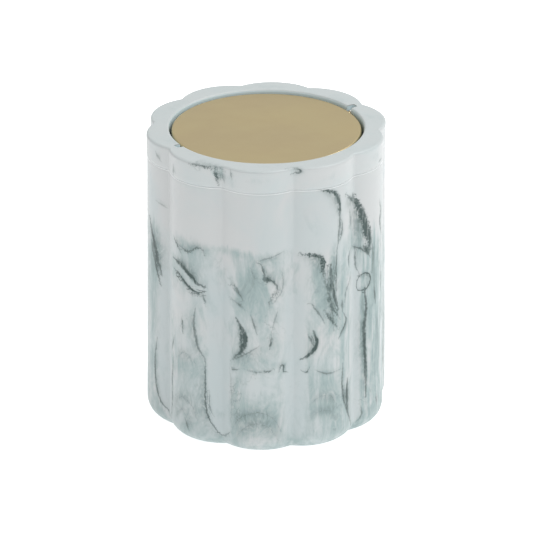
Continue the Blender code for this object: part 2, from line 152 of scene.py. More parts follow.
# Clips that hold the pins up in the carrier
CLIP_CENTRE = 35.0 * MM
CLIP_LENGTH = 10.0 * MM
CLIP_HALF_WIDTH = 8.0 * MM
CLIP_PLATE = 1.2 * MM
CLIP_TONGUE = 1.6 * MM
CLIP_CORNER = 2.0 * MM
CLIP_CORNER_STEPS = 10
CLIP_SOFT_EDGE = 0.15 * MM
CLIP_BOSS_RADIUS = 2.4 * MM
CLIP_BOSS_BOTTOM = -2.6 * MM
CLIP_HOLE = 1.3 * MM
CLIP_SCREW_SHANK = 1.0 * MM
CLIP_SCREW_HEAD = 1.9 * MM
CLIP_SCREW_HEAD_HEIGHT = 1.3 * MM

# Counterweight
WEIGHT_LENGTH = 44.0 * MM
WEIGHT_WIDTH = 20.0 * MM
WEIGHT_HEIGHT = 7.0 * MM
WEIGHT_CORNER = 3.0 * MM
WEIGHT_EDGE = 0.6 * MM
WEIGHT_CORNER_STEPS = 12
WEIGHT_EDGE_STEPS = 4
WEIGHT_SOFT_EDGE = 0.12 * MM
WEIGHT_SCREW_OFFSET = 14.0 * MM
WEIGHT_BOSS_RADIUS = 3.0 * MM
WEIGHT_HOLE = 1.6 * MM
WEIGHT_COUNTERBORE = 2.7 * MM
WEIGHT_COUNTERBORE_DEPTH = 2.2 * MM
WEIGHT_SCREW_SHANK = 1.25 * MM
WEIGHT_SCREW_HEAD = 2.3 * MM
WEIGHT_SCREW_HEAD_HEIGHT = 1.5 * MM

# Screws
HEAD_ROUNDING = 0.5  # of a pan head, as a share of its height
HEAD_EDGE = 0.1 * MM
SCREW_POINT = 0.3  # radius of a screw's blunt tip, as a share of its shank's
SCREW_TIP = 0.4 * MM
PILOT_END = 0.8 * MM
THREAD_PITCH = 0.5 * MM
THREAD_DEPTH = 0.12 * MM
THREAD_ROOT, THREAD_CREST = 0.4, 0.8  # places in each turn, as shares of the pitch
RECESS_HALF_LENGTH = 0.58  # of the cross recess, as a share of the head's radius
RECESS_HALF_WIDTH = 0.13
RECESS_DEPTH = 0.55  # as a share of the head's height
RECESS_TAPER = 0.7  # width of the recess at its bottom, as a share of that at its mouth

FLAT_MARGIN = 0.5 * MM  # a ring of flat surface round a flat end, inside its rounded edge
WEIGHT_TOP = RAIL_BOTTOM - GAP
CLIP_TOP = CLIP_BOSS_BOTTOM - GAP
BODY_BOTTOM = FOOT_STAND
SEAM = HEIGHT - COLLAR_HEIGHT
PIVOT_HEIGHT = HEIGHT - PIVOT_DROP

LOBE_CENTRE = (CREST_RADIUS**2 - VALLEY_RADIUS**2) / (
    2 * (CREST_RADIUS - VALLEY_RADIUS * math.cos(math.pi / LOBES))
)
LOBE_RADIUS = CREST_RADIUS - LOBE_CENTRE


# Meshes


def place(piece, body, node):
    """The piece rides on its body and stands for this plain solid."""
    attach(piece, body)
    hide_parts(node)
    return piece


def shade(mesh):
    mesh.shade_smooth()
    mesh.set_sharp_from_angle(angle=CREASE)


def as_piece(name, bm, material):
    bmesh.ops.remove_doubles(bm, verts=bm.verts, dist=MERGE_DISTANCE)
    bmesh.ops.recalc_face_normals(bm, faces=bm.faces)
    mesh = bpy.data.meshes.new(name)
    bm.to_mesh(mesh)
    bm.free()
    shade(mesh)
    obj = bpy.data.objects.new(name, mesh)
    bpy.context.scene.collection.objects.link(obj)
    if material:
        mesh.materials.append(material)
    return obj


def cut(target, cutter_bm, operation="DIFFERENCE"):
    """Takes the other shape out of the piece, or adds it, for good."""
    cutter = as_piece("cutter", cutter_bm, None)
    modifier = target.modifiers.new("cut", "BOOLEAN")
    modifier.operation = operation
    modifier.solver = "EXACT"
    modifier.object = cutter
    bpy.context.view_layer.update()
    graph = bpy.context.evaluated_depsgraph_get()
    made = bpy.data.meshes.new_from_object(target.evaluated_get(graph))
    target.modifiers.clear()
    old = target.data
    target.data = made
    bpy.data.meshes.remove(old)
    bpy.data.objects.remove(cutter)
    shade(made)


def soften(obj, width):
    """Rounds the piece's sharp edges a little."""
    modifier = obj.modifiers.new("soft_edges", "BEVEL")
    modifier.width = width
    modifier.segments = 2
    modifier.limit_method = "ANGLE"
    modifier.angle_limit = BEVEL_CREASE
    modifier.harden_normals = True


def lobe(angle):
    """Distance from the axis to one lobe's arc, at this angle from its crest."""
    across = LOBE_CENTRE * math.sin(angle)
    return LOBE_CENTRE * math.cos(angle) + math.sqrt(LOBE_RADIUS**2 - across**2)


def outline(angle):
    """Distance from the axis to the fluted outside, with the valleys softened."""
    pitch = math.tau / LOBES
    from_crest = abs(angle % pitch - pitch / 2)
    near = lobe(from_crest)
    beside = lobe(pitch - from_crest)
    return near + VALLEY_SOFTNESS * math.log1p(math.exp((beside - near) / VALLEY_SOFTNESS))


def fluted(inset):
    """The jar's outside, this far in from its surface."""

    def wall(angle, height):
        return outline(angle) * (1 + BASE_SPREAD * (SEAM - height) / SEAM) - inset

    return wall


def collar_wall(inset):
    def wall(angle, _height):
        return outline(angle) + COLLAR_PROUD - inset

    return wall


def turned(radius):
    def wall(_angle, _height):
        return radius

    return wall


def round_wall(radius):
    return lambda inset: turned(radius - inset)


def rounded(wall, edge, height, rising, steps, outward=True):
    """Sections round a quarter circle of radius `edge`, from an end face onto a wall."""
    sections = []
    for step in range(steps + 1):
        turn = step / steps * math.pi / 2
        back = edge * (1 - math.sin(turn))
        along = edge * (1 - math.cos(turn))
        level = height + along if rising else height - along
        sections.append((wall(back if outward else -back), level))
    return sections


def rows(wall, low, high, count):
    """Sections spread evenly over a straight wall, without its two ends."""
    return [(wall, low + (high - low) * row / count) for row in range(1, count)]


def barrel(wall, length, edge, steps, outward=True):
    """Sections along a straight wall with both of its edges rounded."""
    return [
        *rounded(wall, edge, 0, rising=True, steps=steps, outward=outward),
        *reversed(rounded(wall, edge, length, rising=False, steps=steps, outward=outward)),
    ]


def flat_start(wall, edge, height):
    """A ring on an end face, a little way in from where its edge starts to round."""
    return (wall(edge + FLAT_MARGIN), height)


def verts_in(geom):
    return [item for item in geom if isinstance(item, bmesh.types.BMVert)]


def loft(sections, around, closed=False, lift=0.0):
    """One body through the sections, each a wall and a height, grown ring by ring."""
    bm = bmesh.new()
    circle = bmesh.ops.create_circle(bm, cap_ends=not closed, segments=around, radius=1.0)
    ring = circle["verts"]
    edges = [e for e in bm.edges if all(v in ring for v in e.verts)]
    lay_ring(ring, sections[0], lift)
    for section in [*sections[1:], sections[0]] if closed else sections[1:]:
        grown = bmesh.ops.extrude_edge_only(bm, edges=edges)["geom"]
        ring = verts_in(grown)
        edges = [item for item in grown if isinstance(item, bmesh.types.BMEdge)]
        lay_ring(ring, section, lift)
    if not closed:
        bmesh.ops.contextual_create(bm, geom=edges)
    return bm


def lay_ring(ring, section, lift):
    wall, height = section
    for vert in ring:
        angle = math.atan2(vert.co.y, vert.co.x)
        radius = wall(angle, height)
        vert.co = (radius * math.cos(angle), radius * math.sin(angle), height + lift)


def rods(centres, radius, low, high, around):
    """Separate cylinders along Z at each (x, y)."""
    bm = bmesh.new()
    depth = high - low
    for x, y in centres:
        made = bmesh.ops.create_cone(
            bm, cap_ends=True, segments=around, radius1=radius, radius2=radius, depth=depth
        )
        bmesh.ops.translate(bm, verts=made["verts"], vec=(x, y, low + depth / 2))
    return bm


def bevel(bm, edges, width, segments):
    bmesh.ops.bevel(
        bm, geom=edges, offset=width, segments=segments, profile=0.5, affect="EDGES", material=-1
    )


def bar(start, length, profile):
    """A solid along X with this profile of (y, z) points."""
    bm = bmesh.new()
    face = bm.faces.new([bm.verts.new((start, y, z)) for y, z in profile])
    grown = bmesh.ops.extrude_face_region(bm, geom=[face])["geom"]
    bmesh.ops.translate(bm, verts=verts_in(grown), vec=(length, 0, 0))
    return bm


def trough(half_width, start, end, open_to):
    """A slot round the X axis, half round on one side and straight out to `open_to` in Z."""
    side = -1 if open_to > 0 else 1
    steps = TROUGH_STEPS
    profile = [(half_width, open_to)]
    for step in range(steps + 1):
        turn = math.pi * step / steps
        profile.append((half_width * math.cos(turn), side * half_width * math.sin(turn)))
    profile.append((-half_width, open_to))
    return bar(start, end - start, profile)


def box(low, high):
    bm = bmesh.new()
    low, high = Vector(low), Vector(high)
    size = Matrix.Diagonal((*(high - low), 1.0))
    bmesh.ops.create_cube(bm, size=1.0, matrix=Matrix.Translation((low + high) / 2) @ size)
    return bm


def upright_edges(bm, reach=0.0):
    """The edges that run along Z, more than `reach` from the XZ plane."""
    found = []
    for edge in bm.edges:
        run = edge.verts[1].co - edge.verts[0].co
        if abs(run.z) > 0.9 * run.length and abs(edge.verts[0].co.y) > reach:
            found.append(edge)
    return found


def raised(bm):
    """Lifts a mesh built round the pivot axis to the pivot's height."""
    bmesh.ops.translate(bm, verts=bm.verts, vec=(0, 0, PIVOT_HEIGHT))
    return bm


def both_ways(bm):
    """Adds the mesh turned half way round the Z axis."""
    copy = bmesh.ops.duplicate(bm, geom=bm.verts[:] + bm.edges[:] + bm.faces[:])["geom"]
    turn = Matrix.Rotation(math.pi, 3, "Z")
    bmesh.ops.rotate(bm, verts=verts_in(copy), cent=(0, 0, 0), matrix=turn)
    return bm


def lay_along_x(bm, side, start):
    """Turns a mesh built up the Z axis to run outward from `start` at the pivot's height."""
    sign = 1 if side == "right" else -1
    turn = Matrix.Rotation(sign * math.pi / 2, 3, "Y")
    bmesh.ops.rotate(bm, verts=bm.verts, cent=(0, 0, 0), matrix=turn)
    bmesh.ops.translate(bm, verts=bm.verts, vec=(sign * start, 0, PIVOT_HEIGHT))


# Marbling. The wall is taken as unrolled: degrees round the jar, and millimetres up it.

WALL_MM_PER_DEGREE = math.radians(58.5)
CURVE_STEPS = 5  # between two points of a vein
VEIN_MARGIN = 10  # mm round a vein that it can reach with its smoke
FAR_OFF = 99.0  # mm, further than any vein reaches
CLEAR = 9.0  # mm, past the edge of any vein
THIN = 0.3  # mm, half the width of a plain line
RAGGED = 0.35  # how uneven a plain line is

# Points are degrees round the jar and mm up it. Width is half the dark line's, in mm. Smoke is how
# far the haze beside it spreads, in mm: to its left, or to its right where the number is negative.
Vein = namedtuple("Vein", "points width dark smoke ragged", defaults=(0.0, 0.0, RAGGED))
Cloud = namedtuple("Cloud", "angle height half_width half_height amount")
Strip = namedtuple("Strip", "angle half_width bottom")

BODY_VEINS = [
    # feathered streak on the lobe at the left
    Vein([(165, 110), (168.5, 102), (171.5, 94), (175, 85)], 1.8, 0.9, 3.0, 0.8),
    Vein([(167, 99), (170, 91), (174.5, 79)], 1.1, 0.7, 2.5, 0.8),
    Vein([(171.5, 122.5), (179, 121)], 0.5, 0.25, 1.0),
    # twin loop
    Vein([(188.5, 98), (191, 97.5), (195, 96.5), (200, 93), (204, 89.5), (207, 88.5)],
         1.4, 1.0, 2.4, 0.5),
    Vein([(189.5, 97.5), (194, 97), (199, 94)], 0.6, 0.9, 0.8, 0.8),
    Vein([(189, 92.5), (193, 91.5), (196, 89), (200, 86), (204, 84.5), (207.5, 85.5)],
         0.75, 0.95, -0.7, 0.5),
    Vein([(189.5, 92), (191.5, 89.5), (195, 88)], 0.5, 0.9, 0.0, 0.8),
    Vein([(199, 83.5), (203, 82.5), (207, 83.5)], 0.3, 0.5, 0.0, 0.9),
    Vein([(204, 84), (207, 83), (208, 79)], 0.5, 0.5, 1.0, 0.7),
    # crinkled edge of the pour
    Vein([(188.5, 109), (191, 106.5), (193.5, 104)], 0.6, 0.7, 1.4, 0.7),
    Vein([(191.5, 106.5), (195, 106.2), (199, 105), (203, 108), (206.5, 108.5), (207.5, 106)],
         0.5, 0.6, 1.8, 0.8),
    Vein([(195, 68), (195.5, 61)], 0.6, 0.55, 0.8),
    Vein([(188.5, 56), (187, 51.5), (186, 48)], 0.45, 0.5, 0.6),
    # round the pale strip at the left
    Vein([(172, 48), (170.5, 37), (170.5, 28.5), (172, 20), (175.5, 14), (183.5, 9)],
         0.8, 0.6, 1.2),
    Vein([(187, 47), (187, 40), (186, 33), (186, 24), (185.5, 15), (184, 9)], 0.5, 0.55, 0.8),
    # round the pale strip in the next valley
    Vein([(203, 75), (202, 69), (203, 62), (204, 56), (206, 52), (208, 49)], 0.9, 0.5, -2.0),
    Vein([(208, 49), (208, 42), (208, 36), (208, 27), (209, 20), (211, 15), (214, 10), (217, 8.5),
          (220, 11)], 0.6, 0.62, -1.8),
    Vein([(210, 32), (210, 25), (212, 19)], 0.4, 0.4, 0.6),
    Vein([(221, 18), (221.5, 29), (221, 39), (220.5, 48)], 0.3, 0.2, -2.0),
    # soft arcs near the foot
    Vein([(189, 18), (191.5, 23), (196, 25.5), (201, 22.5), (204, 16)], 0.0, 0.5, 2.2),
    Vein([(190, 12), (193.5, 18), (198, 18), (201, 11)], 0.0, 0.45, 1.6),
    Vein([(197, 14), (199, 9)], 0.7, 0.4, 1.0),
    Vein([(222, 14), (226, 21), (234, 24.5), (241, 22), (245.5, 14)], 0.0, 0.55, -3.0),
    Vein([(223.5, 9), (228, 15.5), (234, 18.5), (240, 16), (244, 9)], 0.0, 0.5, -2.2),
    Vein([(260, 27), (264, 30.5), (270, 29.5), (273, 24)], 0.0, 0.5, -2.6),
    Vein([(259, 18), (264, 22.5), (270, 21), (273, 15)], 0.0, 0.4, -2.0),
    Vein([(191, 46), (197, 50), (203, 46)], 0.0, 0.5, -3.0),
    # crescent
    Vein([(224.5, 73.5), (227, 69), (228.5, 64), (227.5, 58.5), (224.5, 54.5)],
         1.5, 1.0, -1.8, 0.5),
    Vein([(226.5, 57), (224, 54), (221.5, 51.5)], 0.5, 0.5, -1.0, 0.5),
    Vein([(226, 68), (226.5, 62), (226, 57)], 0.6, 0.8, 0.8, 0.8),
    Vein([(220.5, 91), (223, 91.5), (226, 88)], 0.35, 0.5, 0.6, 0.6),
    Vein([(221.5, 84), (225, 82.5), (228, 80)], 0.6, 0.45, 0.8, 1.0),
    Vein([(222.5, 90), (226, 87), (227.5, 85)], 0.45, 0.5, 0.8),
    Vein([(221.5, 51), (229, 56), (235, 60.5)], 0.5, 0.42, -2.5),
    # squiggle
    Vein([(234, 105), (236, 104), (237.5, 99.5), (238, 95.5), (241, 95.5), (243.5, 91.5),
          (243, 87)], 0.6, 0.62, 1.2),
    Vein([(237.5, 97), (240, 95.2)], 1.5, 0.8, 1.5, 0.8),
    Vein([(233, 106), (231.5, 101), (234, 95.5), (237, 93.5)], 0.2, 0.22, 1.8, 1.0),
    Vein([(243, 90), (240.5, 86), (240, 81)], 0.35, 0.5, 0.8, 0.8),
    Vein([(246.5, 110), (241.5, 108), (234, 106)], 0.4, 0.35, 1.5),
    Vein([(246, 99), (246.5, 95), (246, 89.5), (241.5, 83)], 0.4, 0.32, 1.0),
    Vein([(231.5, 76.5), (234, 67.5)], 0.5, 0.5, 0.8),
    Vein([(244, 80), (241, 68)], 0.35, 0.3, 0.8),
    Vein([(241, 65.5), (240, 59.5)], 0.6, 0.65, 0.8),
    # level line of a second pour
    Vein([(221, 46), (225, 47)], 0.45, 0.5, 0.6),
    Vein([(229, 47.4), (234, 46.6), (238, 46.9)], 0.3, 0.35, 0.6, 0.8),
    Vein([(236, 46.4), (239, 46.9), (241.5, 47.6)], 0.4, 0.6, 0.6, 0.6),
    Vein([(244.5, 46.5), (245.5, 49.5), (247, 49), (246.5, 46), (248.5, 45)], 0.4, 0.7, 0.8),
    Vein([(256, 45), (258, 44.5), (259.5, 46.5)], 0.4, 0.65, 0.6),
    Vein([(262.5, 45), (265.5, 43), (270, 42), (275, 42.5)], 0.4, 0.42, 0.8),
    # comma
    Vein([(261.5, 65.5), (263, 60.5), (261.5, 56), (258.5, 53), (256, 51.5)], 1.2, 0.9, -1.4, 0.3),
    Vein([(259, 64), (260.5, 60)], 0.6, 0.5, 1.0),
    # serrated wedge
    Vein([(256.5, 107.5), (259, 107), (264, 106), (266, 103), (266, 98), (266.5, 95)],
         1.1, 0.95, -3.0, 1.5),
    Vein([(266.5, 94.5), (269, 84.5), (271, 73.5), (272, 65.5)], 0.6, 0.5, -2.0, 0.8),
    Vein([(267, 76), (270, 71), (274, 65.5)], 0.6, 0.7, 1.2, 0.8),
    Vein([(268.5, 82), (271.5, 76), (275.5, 70)], 0.5, 0.6, 1.0, 0.8),
    Vein([(259, 81), (260.5, 81), (262.5, 77.5), (265, 73.5), (266.5, 70)], 0.4, 0.45, 0.8),
    # long lines at the right
    Vein([(265, 141), (269, 139.5), (273, 137), (275, 131.5), (275.3, 124)], 1.2, 0.9, -1.8, 0.6),
    Vein([(275.3, 128), (275, 119), (274, 109.5)], 0.5, 0.6, 1.2),
    Vein([(274, 109.5), (273.5, 107), (273, 95), (273.5, 85.5)], 0.5, 0.6, -2.0),
    Vein([(270, 99.5), (270.5, 90), (272, 83), (274, 76)], 1.4, 0.85, -2.0),
    Vein([(277, 79), (277, 74)], 0.8, 0.5, 1.0),
    Vein([(278.5, 71), (280, 67), (277, 63), (275, 60)], 0.8, 0.65, 1.0),
    # thick serrated vein
    Vein([(280.5, 134), (285, 130), (289, 126.5)], 1.1, 0.8, -2.5, 1.0),
    Vein([(287.5, 130), (290.5, 125), (293.5, 117.5), (295.5, 110.5), (297.5, 105), (297, 100)],
         2.8, 1.0, -3.6, 1.7),
    Vein([(283, 125), (283.8, 120), (283.3, 116)], 0.4, 0.5, 1.2),
    Vein([(286, 104.7), (292, 101.4), (295.3, 98.8), (297.7, 95.5)], 0.5, 0.6, 1.0),
    Vein([(284.3, 104.2), (282, 100.3), (282.5, 95.4)], 0.45, 0.55, 0.8),
    Vein([(284, 91), (283, 87.4), (279.8, 83.2), (279, 78)], 0.4, 0.5, 0.8),
    Vein([(276.8, 121.5), (277, 117), (275.5, 112)], 0.35, 0.5, 0.6),
    Vein([(288.5, 103), (289, 93), (291, 88.5)], 0.5, 0.5, 1.0),
    Vein([(299, 104), (300, 95), (299, 86.5)], 0.45, 0.5, 1.0),
    Vein([(294, 102), (297, 97.5)], 1.0, 0.8, 1.5),
    # ring, and the long taper under it
    Vein([(289.4, 83.2), (290.7, 86.6), (293.7, 87.8), (296.8, 86.6), (298, 83.2), (296.3, 79.8),
          (293.3, 78.8), (290.3, 79.8), (289.4, 83.2)], 0.55, 0.85, -1.2, 0.2),
    Vein([(294.5, 79), (295, 69), (294, 60), (294, 51), (294.5, 42), (295, 33), (295, 21)],
         1.3, 0.9, -2.2, 0.3),
    Vein([(301, 77.5), (302, 69.5)], 0.6, 0.65, 1.0),
    Vein([(277.5, 44.5), (277, 34.5), (278, 25.5), (281, 17.5), (285, 8)], 0.7, 0.65, 1.0),
    Vein([(281, 34.5), (280.5, 25.5), (281, 17)], 1.4, 0.85, 1.5, 0.3),
    Vein([(292, 15.5), (292.5, 11), (290, 8)], 0.5, 0.45, 0.6),
    Vein([(303, 18), (303.5, 13)], 0.7, 0.6, 0.8),
    Vein([(306.5, 122), (308, 116), (306.5, 111), (309, 104)], 0.9, 0.6, 1.5, 0.7),
    Vein([(308, 86), (308, 74)], 0.8, 0.4, 1.0),
]

BODY_CLOUDS = [
    Cloud(197, 108, 9, 5, 0.30), Cloud(203, 103, 5, 6, 0.25), Cloud(170, 92, 7, 16, 0.62),
    Cloud(196, 42, 9, 5, 0.45), Cloud(200, 92, 6, 5, 0.2), Cloud(190, 66, 5, 14, -0.2),
    Cloud(231, 92, 8, 8, 0.45), Cloud(228, 81, 4, 5, 0.25), Cloud(228, 52, 9, 4.5, 0.4),
    Cloud(240, 101, 8, 8, 0.15), Cloud(237, 80, 7, 10, 0.18), Cloud(233, 25, 9, 6, 0.35),
    Cloud(228, 22, 3, 2, 0.3), Cloud(241, 19, 2.5, 3, 0.35), Cloud(236, 38, 8, 5, -0.25),
    Cloud(264, 97, 4, 7, 0.4), Cloud(268, 83, 4, 8, 0.4), Cloud(271, 71, 3, 8, 0.4),
    Cloud(260, 92, 3, 9, -0.15), Cloud(266, 37, 6, 5, 0.3), Cloud(266.5, 24, 8, 4, 0.4),
    Cloud(270.5, 22, 2, 1.5, 0.4), Cloud(289, 108, 4, 12, 0.4), Cloud(279, 95, 4, 16, 0.25),
    Cloud(297, 70, 8, 22, 0.2), Cloud(300, 105, 6, 12, 0.2), Cloud(275, 20, 5, 12, 0.25),
    Cloud(271.5, 104, 2, 20, 0.5), Cloud(277, 60, 1.8, 26, 0.45), Cloud(301, 88, 2.5, 30, 0.35),
    Cloud(292.5, 60, 1.6, 26, 0.45), Cloud(305, 40, 2.5, 26, 0.35), Cloud(283, 118, 2, 10, 0.35),
    Cloud(168, 60, 2.5, 30, 0.3), Cloud(236, 9, 12, 3, -0.2), Cloud(262, 55, 8, 5, -0.15),
    Cloud(225, 109, 20, 2.5, 0.22), Cloud(196, 111.5, 10, 3, 0.3),
    Cloud(218, 103, 3.5, 4, -0.3), Cloud(222, 98, 3.5, 4, -0.3), Cloud(224, 92, 3, 4, -0.2),
    Cloud(232, 98, 3, 6, 0.2), Cloud(229, 86, 4, 5, 0.25), Cloud(259, 122, 8, 13, 0.14),
    Cloud(193, 77, 6, 7, -0.3), Cloud(243, 84, 4, 12, -0.2),
]

COLLAR_CLOUDS = [
    Cloud(214, 149.5, 4, 3.5, 0.5), Cloud(205, 151, 5, 2, 0.35), Cloud(222, 146, 4, 4, 0.25),
    Cloud(252, 151.5, 4, 1.5, 0.3), Cloud(188, 146, 3, 4, 0.3), Cloud(270, 147, 6, 2.5, 0.25),
    Cloud(172, 158, 5, 3, 0.55), Cloud(14, 158, 6, 3, 0.65), Cloud(196, 157, 9, 2, 0.4),
    Cloud(235, 148, 8, 2, 0.25), Cloud(300, 147, 5, 3, 0.4), Cloud(60, 156, 14, 3, 0.45),
    Cloud(120, 157, 12, 3, 0.45), Cloud(340, 156, 8, 3, 0.5), Cloud(90, 147, 9, 4, 0.45),
    Cloud(240, 157, 10, 2, 0.35), Cloud(290, 158, 7, 3, 0.45), Cloud(150, 150, 6, 4, 0.4),
]

BODY_STRIPS = [Strip(179, 6, 10), Strip(215, 6, 9.5), Strip(252.5, 5.5, 8), Strip(288, 4, 9)]

COLLAR_VEINS = [
    Vein([(201, 152), (204.5, 152.5), (208.5, 152), (211, 151)], 0.6, 0.7, 1.2, 1.0),
    Vein([(206, 152.5), (211.5, 152.8), (217, 151)], 0.4, 0.5, 1.0, 1.0),
    Vein([(212.5, 151.5), (213.5, 147), (214, 144)], 0.7, 0.7, 1.6, 1.0),
    Vein([(216, 149), (217.5, 145)], 0.5, 0.3, 1.0),
    Vein([(221, 151.5), (221.5, 148)], 0.5, 0.4, 0.8),
    Vein([(248.5, 153), (252.5, 153), (255.5, 151.5), (253.5, 150.5), (251, 150)], 0.5, 0.7, 0.8),
    Vein([(188, 147), (188, 143)], 0.7, 0.45, 1.4),
    Vein([(172, 148), (175, 145)], 0.8, 0.35, 1.2),
    Vein([(305, 143.5), (308, 144)], 0.4, 0.5, 0.6),
]

STRIP_FEATHER = 3.2  # mm over which a pale strip's side fades out
STRIP_TOP, STRIP_FADE = 104, 20  # mm up the wall where a strip ends, and mm it fades over
BOUNDARY = 112.0  # mm up the wall where the plain upper band gives way to clouds
SWIRLED = ((186, 250), (28, 106))  # degrees where the clouds swirl, and don't stream down
RANDOM_START, RANDOM_END = 324, 520  # the rest of the way round, where the marbling is random


def either_way(draw):
    return draw.choice((-1, 1))


def strip_outline(draw, strip, side):
    """A line down one side of a pale strip and round under it."""
    edge = strip.angle + side * strip.half_width
    heights = range(draw.randint(45, 85), 18, -9)
    points = [(edge + draw.uniform(-1.2, 1.2), height) for height in heights]
    points.append((strip.angle + 0.6 * side * strip.half_width, strip.bottom + 2))
    points.append((strip.angle, strip.bottom))
    width, dark = draw.uniform(0.4, 0.8), draw.uniform(0.4, 0.65)
    return Vein(points, width, dark, either_way(draw) * draw.uniform(0.8, 1.8))


def crescent(draw, angle, height):
    """A dark stroke, bent to one side, with smoke in its hollow."""
    bow, reach = either_way(draw) * draw.uniform(2.5, 5), draw.uniform(7, 13)
    points = []
    for turn in (-1.3, -0.7, 0, 0.7, 1.3):
        points.append((angle + bow * math.cos(turn), height - reach * math.sin(turn)))
    width, dark = draw.uniform(0.9, 1.8), draw.uniform(0.8, 1.0)
    return Vein(points, width, dark, bow / abs(bow) * draw.uniform(1.5, 2.4), 0.6)


def long_line(draw, angle, height):
    """A thin line that wanders down the wall."""
    points = []
    for _ in range(draw.randint(4, 9)):
        points.append((angle, height))
        angle += draw.uniform(-1.6, 1.6)
        height -= draw.uniform(6, 10)
    strong = draw.random() ** 2
    smoke = either_way(draw) * (0.8 + 1.8 * strong)
    ragged = draw.choice((RAGGED, 0.8))
    return Vein(points, 0.4 + 0.9 * strong, 0.4 + 0.5 * strong, smoke, ragged)


def level_line(draw, angle):
    """Where a second pour met the first."""
    height = draw.uniform(43, 47)
    shape = ((-9, 0), (-4, 1.5), (2, -0.5), (7, 1))
    return Vein([(angle + across, height + up) for across, up in shape], 0.45, 0.55, 0.8)


def soft_arc(draw, angle, foot):
    """A band of smoke bent over like an arch, with no dark line in it."""
    rise = draw.uniform(6, 9)
    shape = ((-10, 0), (-6, 1), (1, 1.3), (6, 1), (10, 0))
    return Vein([(angle + across, foot + up * rise) for across, up in shape], 0.0, 0.5, -2.6)


def random_cloud(draw, angle):
    place_in_lobe, height = angle + draw.uniform(-12, 12), draw.uniform(10, 108)
    half_width, half_height = draw.uniform(3, 8), draw.uniform(4, 12)
    return Cloud(place_in_lobe, height, half_width, half_height, draw.uniform(-0.2, 0.45))


def random_marbling(draw):
    """Veins, clouds and pale strips of the same kinds round the rest of the jar, lobe by lobe."""
    veins, clouds, strips = [], [], []
    lobe_pitch = 360 // LOBES
    for valley in range(RANDOM_START, RANDOM_END, lobe_pitch):
        strip = Strip(valley + draw.uniform(-2, 2), draw.uniform(3.5, 6), draw.uniform(8, 12))
        strips.append(strip)
        veins += [strip_outline(draw, strip, side) for side in (-1, 1) if draw.random() < 0.8]
        crest = valley + lobe_pitch / 2
        if crest > RANDOM_END - lobe_pitch / 2:
            continue
        veins.append(crescent(draw, crest + draw.uniform(-6, 4), draw.uniform(72, 100)))
        veins.append(crescent(draw, crest + draw.uniform(-2, 8), draw.uniform(50, 70)))
        for _ in range(3):
            veins.append(long_line(draw, crest + draw.uniform(-10, 10), draw.uniform(50, 125)))
        veins.append(level_line(draw, crest))
        veins += [soft_arc(draw, crest, foot) for foot in (14, 8)]
        clouds += [random_cloud(draw, crest) for _ in range(5)]
    return veins, clouds, strips


def sampled(points):
    """The points joined by a smooth curve, which passes through each of them."""
    points = [np.array(p, float) for p in points]
    ends = [2 * points[0] - points[1], *points, 2 * points[-1] - points[-2]]
    curve = []
    for a, b, c, d in zip(ends, ends[1:], ends[2:], ends[3:]):
        for step in range(CURVE_STEPS):
            t = step / CURVE_STEPS
            bend = (2 * a - 5 * b + 4 * c - d) * t**2
            curve.append(0.5 * (2 * b + (c - a) * t + bend + (3 * b - a - 3 * c + d) * t**3))
    return np.array([*curve, points[-1]])


def wrapped(across):
    """The same distance round the jar, taken the shorter way."""
    turn = 360 * WALL_MM_PER_DEGREE
    return (across + turn / 2) % turn - turn / 2


def beside(curve, x, y):
    """Each point's distance from the curve, which side it lies on, and its place along it."""
    steps = np.diff(curve, axis=0)
    lengths = np.hypot(*steps.T)
    along = np.concatenate([[0], np.cumsum(lengths)]) / lengths.sum()
    gap = np.full(len(x), FAR_OFF)
    side, share = np.zeros(len(x)), np.zeros(len(x))
    for i, length in enumerate(lengths):
        start, step = curve[i], steps[i] / length
        rx, ry = x - start[0], y - start[1]
        t = np.clip(rx * step[0] + ry * step[1], 0, length)
        reach = np.hypot(rx - t * step[0], ry - t * step[1])
        closer = reach < gap
        gap[closer], side[closer] = reach[closer], (step[0] * ry - step[1] * rx)[closer]
        share[closer] = along[i] + t[closer] / length * (along[i + 1] - along[i])
    return gap, side, share


def lay_veins(veins, run, up):
    """The nearest vein's offset, gap and width, its darkness and raggedness, and all the smoke."""
    count = len(run)
    lateral, near, best = (np.full(count, CLEAR) for _ in range(3))
    width, dark, ragged = np.full(count, THIN), np.zeros(count), np.full(count, RAGGED)
    smoke = np.zeros(count)
    for vein in veins:
        curve = sampled(vein.points)
        curve[:, 0] *= WALL_MM_PER_DEGREE
        middle = (curve.min(0) + curve.max(0)) / 2
        reach = (curve.max(0) - curve.min(0)) / 2 + VEIN_MARGIN
        inside = (abs(wrapped(run - middle[0])) < reach[0]) & (abs(up - middle[1]) < reach[1])
        chosen = np.nonzero(inside)[0]
        x = wrapped(run[chosen] - middle[0]) + middle[0]
        gap, side, share = beside(curve, x, up[chosen])
        taper = np.sin(np.pi * np.clip(share, 0.03, 0.97)) ** 0.6
        own_width = vein.width * (0.25 + 0.75 * taper)
        rank = gap - own_width
        wins = rank < best[chosen]
        won = chosen[wins]
        best[won], lateral[won], near[won] = rank[wins], side[wins], gap[wins]
        width[won], dark[won] = own_width[wins], vein.dark * (0.5 + 0.5 * taper[wins])
        ragged[won] = vein.ragged
        if vein.smoke:
            # a soft arc smokes on both sides, a line nearly all on one
            other_side = 0.6 if vein.width else 2.4
            full = side * np.sign(vein.smoke) > 0
            spread = np.where(full, 1.4 * abs(vein.smoke), other_side) * (0.4 + 0.6 * taper)
            fall = (np.maximum(gap - 0.5 * own_width, 0) / spread) ** 1.5
            smoke[chosen] += vein.dark * 0.9 * taper * np.exp(-fall)
    return (lateral, near, width), (dark, ragged, smoke)


